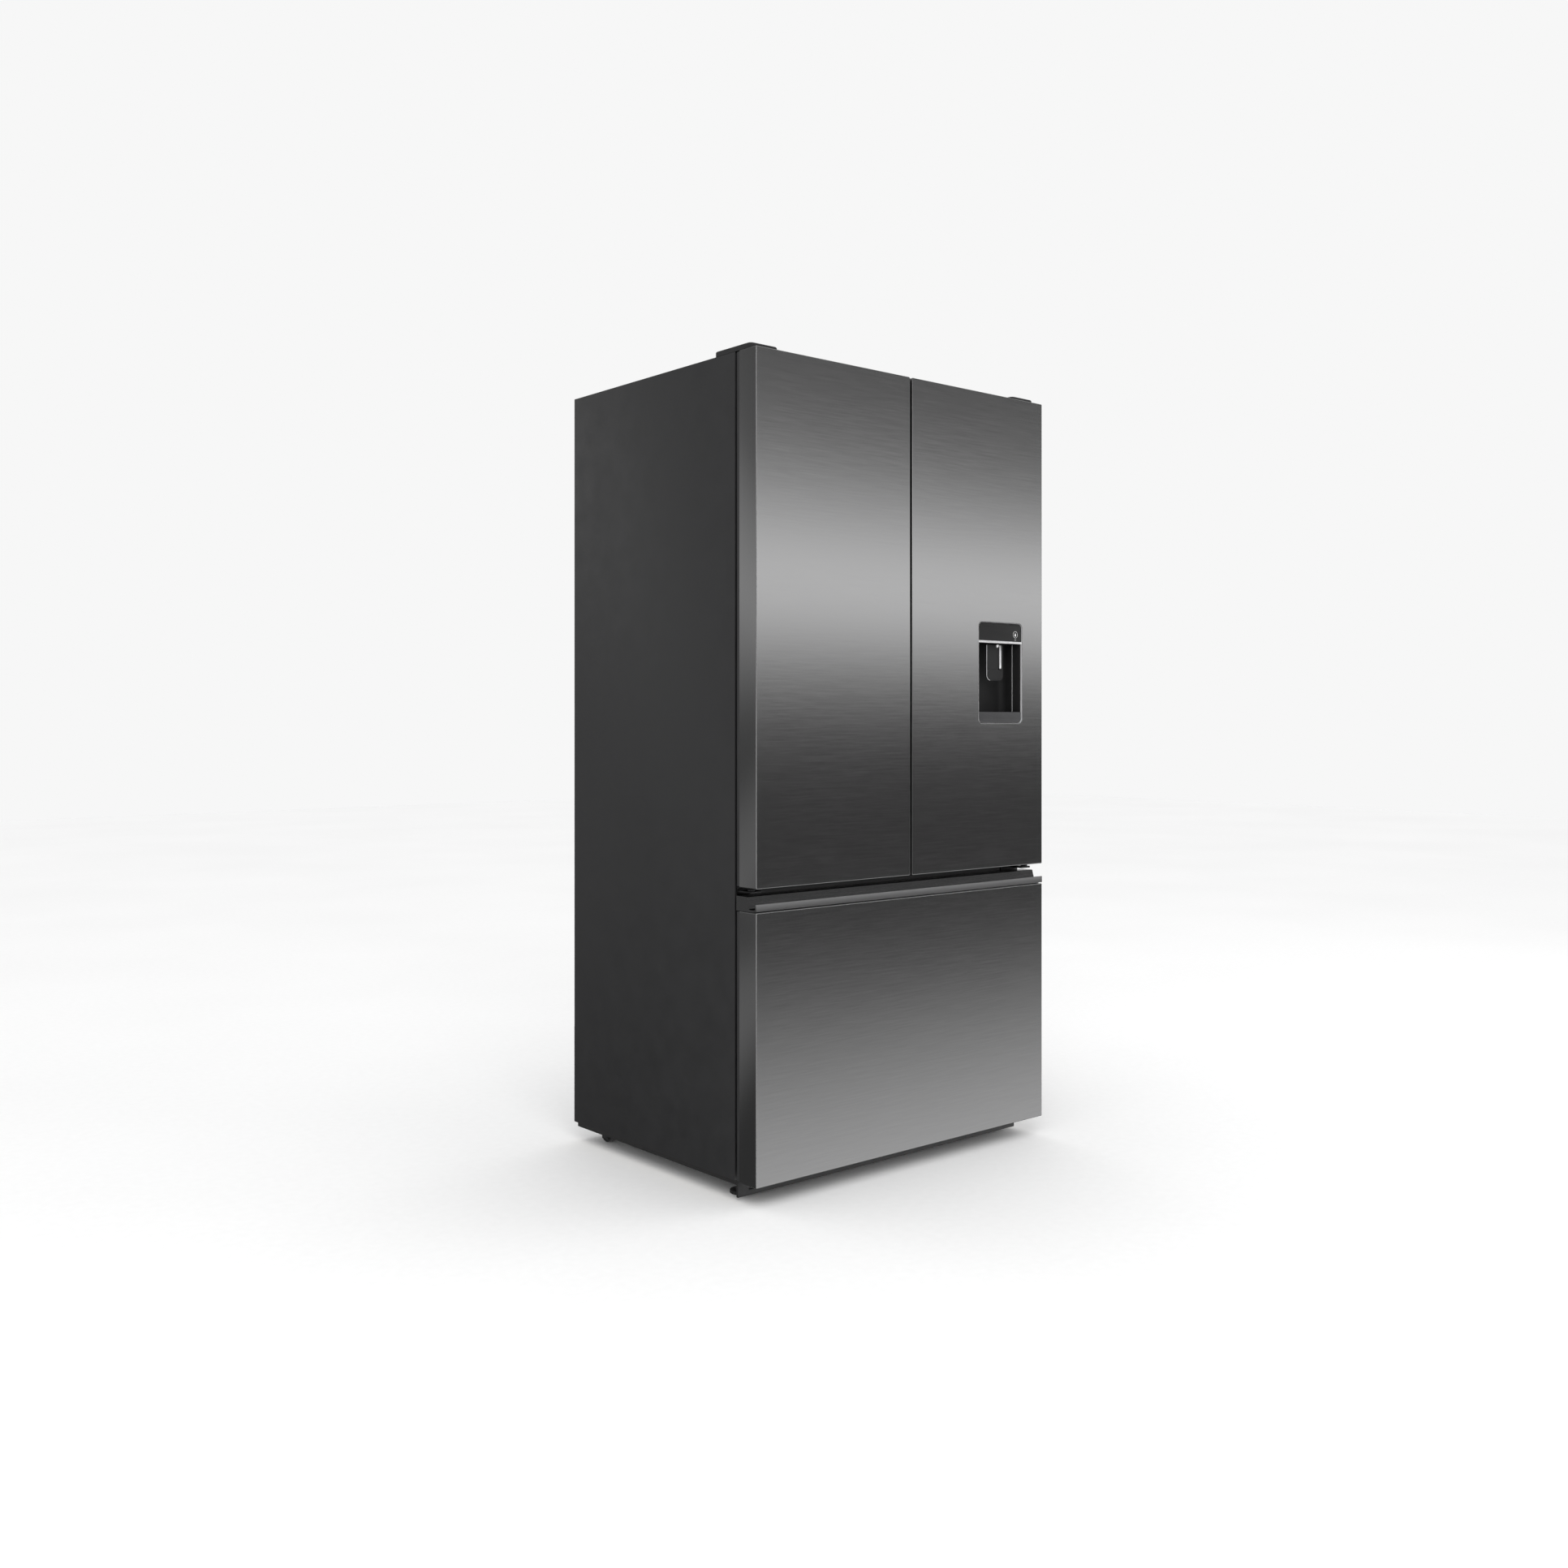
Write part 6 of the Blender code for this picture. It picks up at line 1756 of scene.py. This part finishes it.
for g, middle in enumerate(groups):
    for i in range(SLOTS_IN_GROUP):
        for side, sign in (("left", -1), ("right", 1)):
            z = middle + (i - (SLOTS_IN_GROUP - 1) / 2) * 2.6 * SLOT_HEIGHT
            x = sign * (0.012 + SLOT_LENGTH / 2)
            slot_low = (x - SLOT_LENGTH / 2, z - SLOT_HEIGHT / 2)
            slot_high = (x + SLOT_LENGTH / 2, z + SLOT_HEIGHT / 2)
            name = f"duct_slot_{g + 1}_{i + 1}_{side}"
            rim_profile = (
                (-SLOT_RIM, front), (-SLOT_RIM / 2, front - 0.0009), (0, front - 0.0007), (0.0003, front),
            )
            rim_rings = [
                standing(eased_rectangle(slot_low, slot_high, 0.0029, inset, 4), y)
                for inset, y in rim_profile
            ]
            fit(loft(name + "_rim", rim_rings, closed=True), white_trim, body="cabinet", slot="white_liner")
            # The black inlay is painted shade where a deep slot would be dark inside.
            dark = [
                standing(eased_rectangle(slot_low, slot_high, 0.0029, 0.0001, 4), y)
                for y in (front - 0.0001, front)
            ]
            fit(loft(name, dark), black_grain, body="cabinet", slot="black_plastic")
print("duct cover with", len(groups) * SLOTS_IN_GROUP * 2, "slots")

# %% [markdown]
# ## The back
#
# The rear sheet is plain galvanised steel, stiffened by long pressed beads. Its rim steps in
# so that screw heads sit below the surface. The sheet is a grid of points whose depth is a sum
# of the rim's step and the beads, each a smooth S of the distance to its edge.

# %% Rear sheet
REAR_COLUMNS = 260
REAR_ROWS = 300
RIM_WIDTH = 0.020
RIM_STEP = 0.0011
BEAD_LENGTH_MARGIN = 0.110
BEAD_HALF = 0.012
BEAD_DEPTH = 0.0013
BEAD_PLACES = (-0.27, -0.09, 0.09, 0.27)
PRESS_SLOPE = 0.004

low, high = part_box("back_panel")


def smooth(value):
    """An S curve from 0 to 1: three times the square less twice the cube."""
    value = np.clip(value, 0, 1)
    return value * value * (3 - 2 * value)


x = np.linspace(high.x, low.x, REAR_COLUMNS)[None, :] + np.zeros((REAR_ROWS, 1))
z = np.linspace(low.z, high.z, REAR_ROWS)[:, None] + np.zeros((1, REAR_COLUMNS))
to_rim = np.minimum(np.minimum(x - low.x, high.x - x), np.minimum(z - low.z, high.z - z))
sunk = RIM_STEP * (1 - smooth((to_rim - RIM_WIDTH) / PRESS_SLOPE))
along = np.minimum(z - low.z, high.z - z) - BEAD_LENGTH_MARGIN
for place in BEAD_PLACES:
    beyond_end = np.clip(-along, 0, None)
    from_bead = np.hypot(x - place, beyond_end)
    sunk = np.maximum(sunk, BEAD_DEPTH * smooth((BEAD_HALF - from_bead) / PRESS_SLOPE))
rear_face = np.stack([x, high.y - sunk, z], axis=-1)
inner_face = np.stack([x, np.full_like(x, low.y), z], axis=-1)
fit(plate("rear_sheet_pressed", rear_face, inner_face), galvanised, "back_panel")
print("rear sheet", REAR_ROWS, "by", REAR_COLUMNS, "points with", len(BEAD_PLACES), "beads")

# %% Screws and foam plugs
SCREW_RADIUS = 0.0042
SCREW_HEAD = 0.0009
SCREW_PITCH = 0.21
PLUG_RADIUS = 0.017


def screw(name, x, z, floor):
    """A low round head, dished in the middle, as shares of its radius and height."""
    shares = ((1, 0), (1, 0.4), (0.8, 1), (0.35, 1), (0.28, 0.3))
    profile = [(r * SCREW_RADIUS, floor + h * SCREW_HEAD) for r, h in shares]
    fit(turned(name, profile, (x, z), "y", 16), zinc, body="cabinet", slot="zinc_sheet")


rim_floor = high.y - RIM_STEP
middle = RIM_WIDTH / 2
count = 0
for z in np.linspace(low.z + middle, high.z - middle, round((high.z - low.z) / SCREW_PITCH) + 1):
    for x in (low.x + middle, high.x - middle):
        count += 1
        screw(f"rear_screw_{count}", x, z, rim_floor)
for x in np.linspace(low.x + middle, high.x - middle, round((high.x - low.x) / SCREW_PITCH) + 1)[1:-1]:
    for z in (low.z + middle, high.z - middle):
        count += 1
        screw(f"rear_screw_{count}", x, z, rim_floor)
for i, place in enumerate((BEAD_PLACES[0] + BEAD_PLACES[1], BEAD_PLACES[2] + BEAD_PLACES[3])):
    centre = (place / 2, high.z - 0.30)
    profile = ((PLUG_RADIUS, high.y - 0.0008), (PLUG_RADIUS, high.y - 0.0003), (PLUG_RADIUS - 0.0008, high.y),
               (0.6 * PLUG_RADIUS, high.y), (0.55 * PLUG_RADIUS, high.y - 0.0006))
    fit(
        turned(f"foam_plug_{i + 1}", profile, centre, "y", 40), black_grain, body="cabinet",
        slot="black_plastic",
    )
print("rear sheet held by", count, "screws")

# %% [markdown]
# ## Power inlet
#
# The lead plugs into a socket moulded in black plastic: a well with two cut corners and three
# flat pins. The cut corners are the outline's own, so a plug only fits one way round.

# %% Inlet
low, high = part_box("power_inlet")
INLET_CUT = 0.008
INLET_WALL = 0.004
INLET_WELL = 0.022
PIN_SIZE = (0.0020, 0.0060)
PIN_REACH = 0.016
INLET_EASE = 0.0006


def inlet_ring(inset, y, cut=INLET_CUT):
    """A rectangle with its two upper corners cut off, as the socket's shape is."""
    x0, x1 = low.x + inset, high.x - inset
    z0, z1 = low.z + inset, high.z - inset
    outline = np.array(((x0, z0), (x1, z0), (x1, z1 - cut), (x1 - cut, z1), (x0 + cut, z1), (x0, z1 - cut)))
    return standing(eased(outline, 0.0012, 3), y)


inlet = loft(
    "power_inlet_moulded",
    [
        inlet_ring(INLET_EASE, low.y),
        inlet_ring(0, low.y + 0.001),
        inlet_ring(0, high.y - INLET_EASE),
        inlet_ring(INLET_EASE, high.y),
        inlet_ring(INLET_WALL - INLET_EASE, high.y),
        inlet_ring(INLET_WALL, high.y - 0.0008),
        inlet_ring(INLET_WALL, high.y - INLET_WELL),
    ],
)
fit(inlet, black_grain, "power_inlet")
centre_x, centre_z = (low.x + high.x) / 2, (low.z + high.z) / 2
for name, dx, dz in (("earth", 0, 0.004), ("live", -0.008, -0.003), ("neutral", 0.008, -0.003)):
    x, z = centre_x + dx, centre_z + dz
    outline = eased(
        rectangle((x - PIN_SIZE[0] / 2, z - PIN_SIZE[1] / 2), (x + PIN_SIZE[0] / 2, z + PIN_SIZE[1] / 2)),
        0.0004, 3,
    )
    ends = (high.y - INLET_WELL, high.y - INLET_WELL + PIN_REACH)
    fit(bar(f"inlet_pin_{name}", standing, outline, ends, 0.0008), zinc, body="cabinet", slot="zinc_sheet")
print("inlet with three pins")

# %% [markdown]
# ## Feet and rollers
#
# The front feet screw up and down, so their rims are scalloped for fingers: the radius goes in
# and out with the cosine of the angle. The rear rollers have a grooved tread.

# %% Feet and rollers
FOOT_LOBES = 22
HUB_FOOT_RADIUS = 0.011
HUB_TOP_RADIUS = 0.0075
THREAD_START = 0.0145
THREAD_RADIUS = 0.0058
THREAD_GROOVE = 0.0006
AXLE_STUB = 0.0038
AXLE_RADIUS = 0.004
LOBE_DEPTH = 0.0011
THREAD_TURNS = 9


def lobed(centre, radius, z, depth):
    """A circle whose radius dips by depth between its lobes."""
    angle = np.linspace(0, 2 * math.pi, FOOT_LOBES * 6, endpoint=False)
    reach = radius - depth * (1 - np.cos(FOOT_LOBES * angle)) / 2
    return lying(np.array(centre) + reach[:, None] * np.column_stack([np.cos(angle), np.sin(angle)]), z)


for side in ("left", "right"):
    node = "levelling_foot_" + side
    low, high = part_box(node)
    centre = ((low.x + high.x) / 2, (low.y + high.y) / 2)
    radius = (high.x - low.x) / 2
    rings = [lobed(centre, radius - 0.0015, 0, 0), lobed(centre, radius, 0.0012, LOBE_DEPTH)]
    rings += [lobed(centre, radius, 0.0068, LOBE_DEPTH), lobed(centre, radius - 0.0016, 0.0080, LOBE_DEPTH)]
    rings += [lobed(centre, HUB_FOOT_RADIUS, 0.0095, 0), lobed(centre, HUB_TOP_RADIUS, 0.0140, 0)]
    for z in np.linspace(THREAD_START, high.z - 0.001, 2 * THREAD_TURNS + 1):
        groove = THREAD_GROOVE if len(rings) % 2 else 0.0
        rings.append(lobed(centre, THREAD_RADIUS - groove, z, 0))
    fit(loft(node + "_scalloped", rings), rubber, node)

    node = "rear_roller_" + side
    low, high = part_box(node)
    radius = (high.z - low.z) / 2
    wheel_low, wheel_high = low.x + AXLE_STUB, high.x - AXLE_STUB
    hub_and_web = (
        (AXLE_RADIUS, low.x),
        (AXLE_RADIUS, wheel_low),
        (0.007, wheel_low),
        (0.0085, wheel_low + 0.0012),
        (radius - 0.004, wheel_low + 0.0012),
    )
    rim = ((radius - 0.003, wheel_low), (radius - 0.0008, wheel_low), (radius, wheel_low + 0.0010))
    middle = (wheel_low + wheel_high) / 2
    groove = ((radius, middle - 0.003), (radius - 0.0012, middle - 0.0018))
    half_profile = hub_and_web + rim + groove
    mirrored = tuple((r, 2 * middle - x) for r, x in reversed(half_profile))
    centre = ((low.y + high.y) / 2, (low.z + high.z) / 2)
    fit(turned(node + "_grooved", half_profile + mirrored, centre, "x", 40), black_grain, node)
print("feet with", FOOT_LOBES, "scallops, rollers grooved")

# %% [markdown]
# ## Machine room
#
# The compressor is a pot of two pressed shells, welded round the middle. It stands on a plate
# with rubber grommets and has two copper stubs. The condenser is one tube bent to and fro. A
# Blender curve with a round section carries the tube along its route, whose corners are eased
# into bends first.

# %% Compressor
low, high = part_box("compressor")
centre = ((low.x + high.x) / 2, (low.y + high.y) / 2)
PLATE_SHEET = 0.004
WELD_FLANGE = 0.0025
DOME_ROUND = 0.042
SEAM_SHARE = 0.55
GROMMET_PLACE = 0.078
pot_radius = (high.x - low.x) / 2 - 0.015
pot_floor = low.z + PLATE_SHEET - TOUCHING_GAP
pot_height = high.z - pot_floor
dome = quarter(DOME_ROUND, 0, 90)
pot_profile = [
    (pot_radius - 0.020, pot_floor), (pot_radius - 0.006, pot_floor + 0.008),
    (pot_radius - 0.001, pot_floor + 0.022),
]
seam = pot_floor + SEAM_SHARE * pot_height
pot_profile += [
    (pot_radius - 0.001, seam - 0.004), (pot_radius + WELD_FLANGE, seam - 0.003),
    (pot_radius + WELD_FLANGE, seam + 0.002),
]
pot_profile += [(pot_radius - 0.003, seam + 0.004)]
dome_start = pot_radius - 0.003 - DOME_ROUND
pot_profile += [(dome_start + r, high.z - DOME_ROUND + h) for r, h in dome[:-1]]
pot_profile += [(0.004, high.z)]
pot = turned("compressor_pot", pot_profile, centre, sides=56)
fit(pot, enamel, "compressor")
base = block("compressor_plate", (low.x, low.y, low.z), (high.x, high.y, low.z + PLATE_SHEET), 0.0018)
fit(base, powder_coat, body="cabinet", slot="compressor_black")
for i, (sx, sy) in enumerate(((-1, -1), (1, -1), (1, 1), (-1, 1))):
    spot = (centre[0] + sx * GROMMET_PLACE, centre[1] + sy * GROMMET_PLACE)
    lower_bulge = ((0.009, low.z + 0.003), (0.009, low.z + 0.011))
    waist = ((0.0070, low.z + 0.0125), (0.0070, low.z + 0.0155))
    upper_bulge = ((0.0090, low.z + 0.017), (0.0086, low.z + 0.021), (0.003, low.z + 0.0215))
    profile = lower_bulge + waist + upper_bulge
    fit(
        turned(f"compressor_grommet_{i + 1}", profile, spot, sides=24), rubber, body="cabinet",
        slot="black_plastic",
    )
print("compressor", round(2 * pot_radius, 3), "m across")

# %% Condenser tube
TUBE_RADIUS = 0.004
TUBE_BEND = 0.010
TUBE_PASSES = 6
low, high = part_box("condenser_coil")
first, last = low.x + TUBE_RADIUS, high.x - TUBE_RADIUS
front, rear = low.y + TUBE_RADIUS, high.y - TUBE_RADIUS
foot, top = low.z + TUBE_RADIUS, high.z - TUBE_RADIUS
corners = []
for i, x in enumerate(np.linspace(first, last, TUBE_PASSES)):
    here, there = (foot, top) if i % 2 == 0 else (top, foot)
    corners += [(x, front, here), (x, rear, here), (x, rear, there), (x, front, there)]
fit(tube("condenser_tube", bent(corners, TUBE_BEND), TUBE_RADIUS), copper, "condenser_coil")
pot_low, pot_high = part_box("compressor")
pot_x, pot_y = (pot_low.x + pot_high.x) / 2, (pot_low.y + pot_high.y) / 2
stub_level = pot_low.z + 0.120
STUB_SUNK = 0.004
STUB_REACH = 0.012
discharge_y = pot_y - 0.030
discharge = [
    (pot_x + pot_radius - STUB_SUNK, discharge_y, stub_level),
    (pot_x + pot_radius + STUB_REACH, discharge_y, stub_level),
    (pot_x + pot_radius + STUB_REACH, discharge_y, pot_low.z + 0.012),
]
suction = [
    (pot_x - pot_radius + STUB_SUNK, pot_y, stub_level),
    (pot_x - pot_radius - STUB_REACH, pot_y, stub_level),
    (pot_x - pot_radius - STUB_REACH, pot_y, pot_high.z + 0.050),
]
for name, route in (("discharge_tube", discharge), ("suction_tube", suction)):
    fit(tube(name, bent(route, 0.009), 0.0035), copper, body="cabinet", slot="copper_tube")
print("condenser tube with", TUBE_PASSES, "passes")

# %% [markdown]
# ## Floor
#
# A plain pale floor, very slightly mottled, catches a soft contact shadow. It is hidden from
# shiny rays, because the ladder of room tones already holds the floor's brightness.

# %% Floor
FLOOR_HALF = 14.0
floor_tone = moulded("studio_floor", (0.90, 0.90, 0.90), (0.93, 0.93, 0.93), (0.8, 0.9), 0.02, 0.00002)
corner = FLOOR_HALF * np.array(((-1, -1, 0), (1, -1, 0), (1, 1, 0), (-1, 1, 0)))
mesh = bpy.data.meshes.new("studio_floor")
mesh.from_pydata(corner.tolist(), [], [(0, 1, 2, 3)])
mesh.materials.append(floor_tone)
studio_floor = bpy.data.objects.new("studio_floor", mesh)
studio_floor.visible_glossy = False
bpy.context.scene.collection.objects.link(studio_floor)
print("floor", 2 * FLOOR_HALF, "m wide")
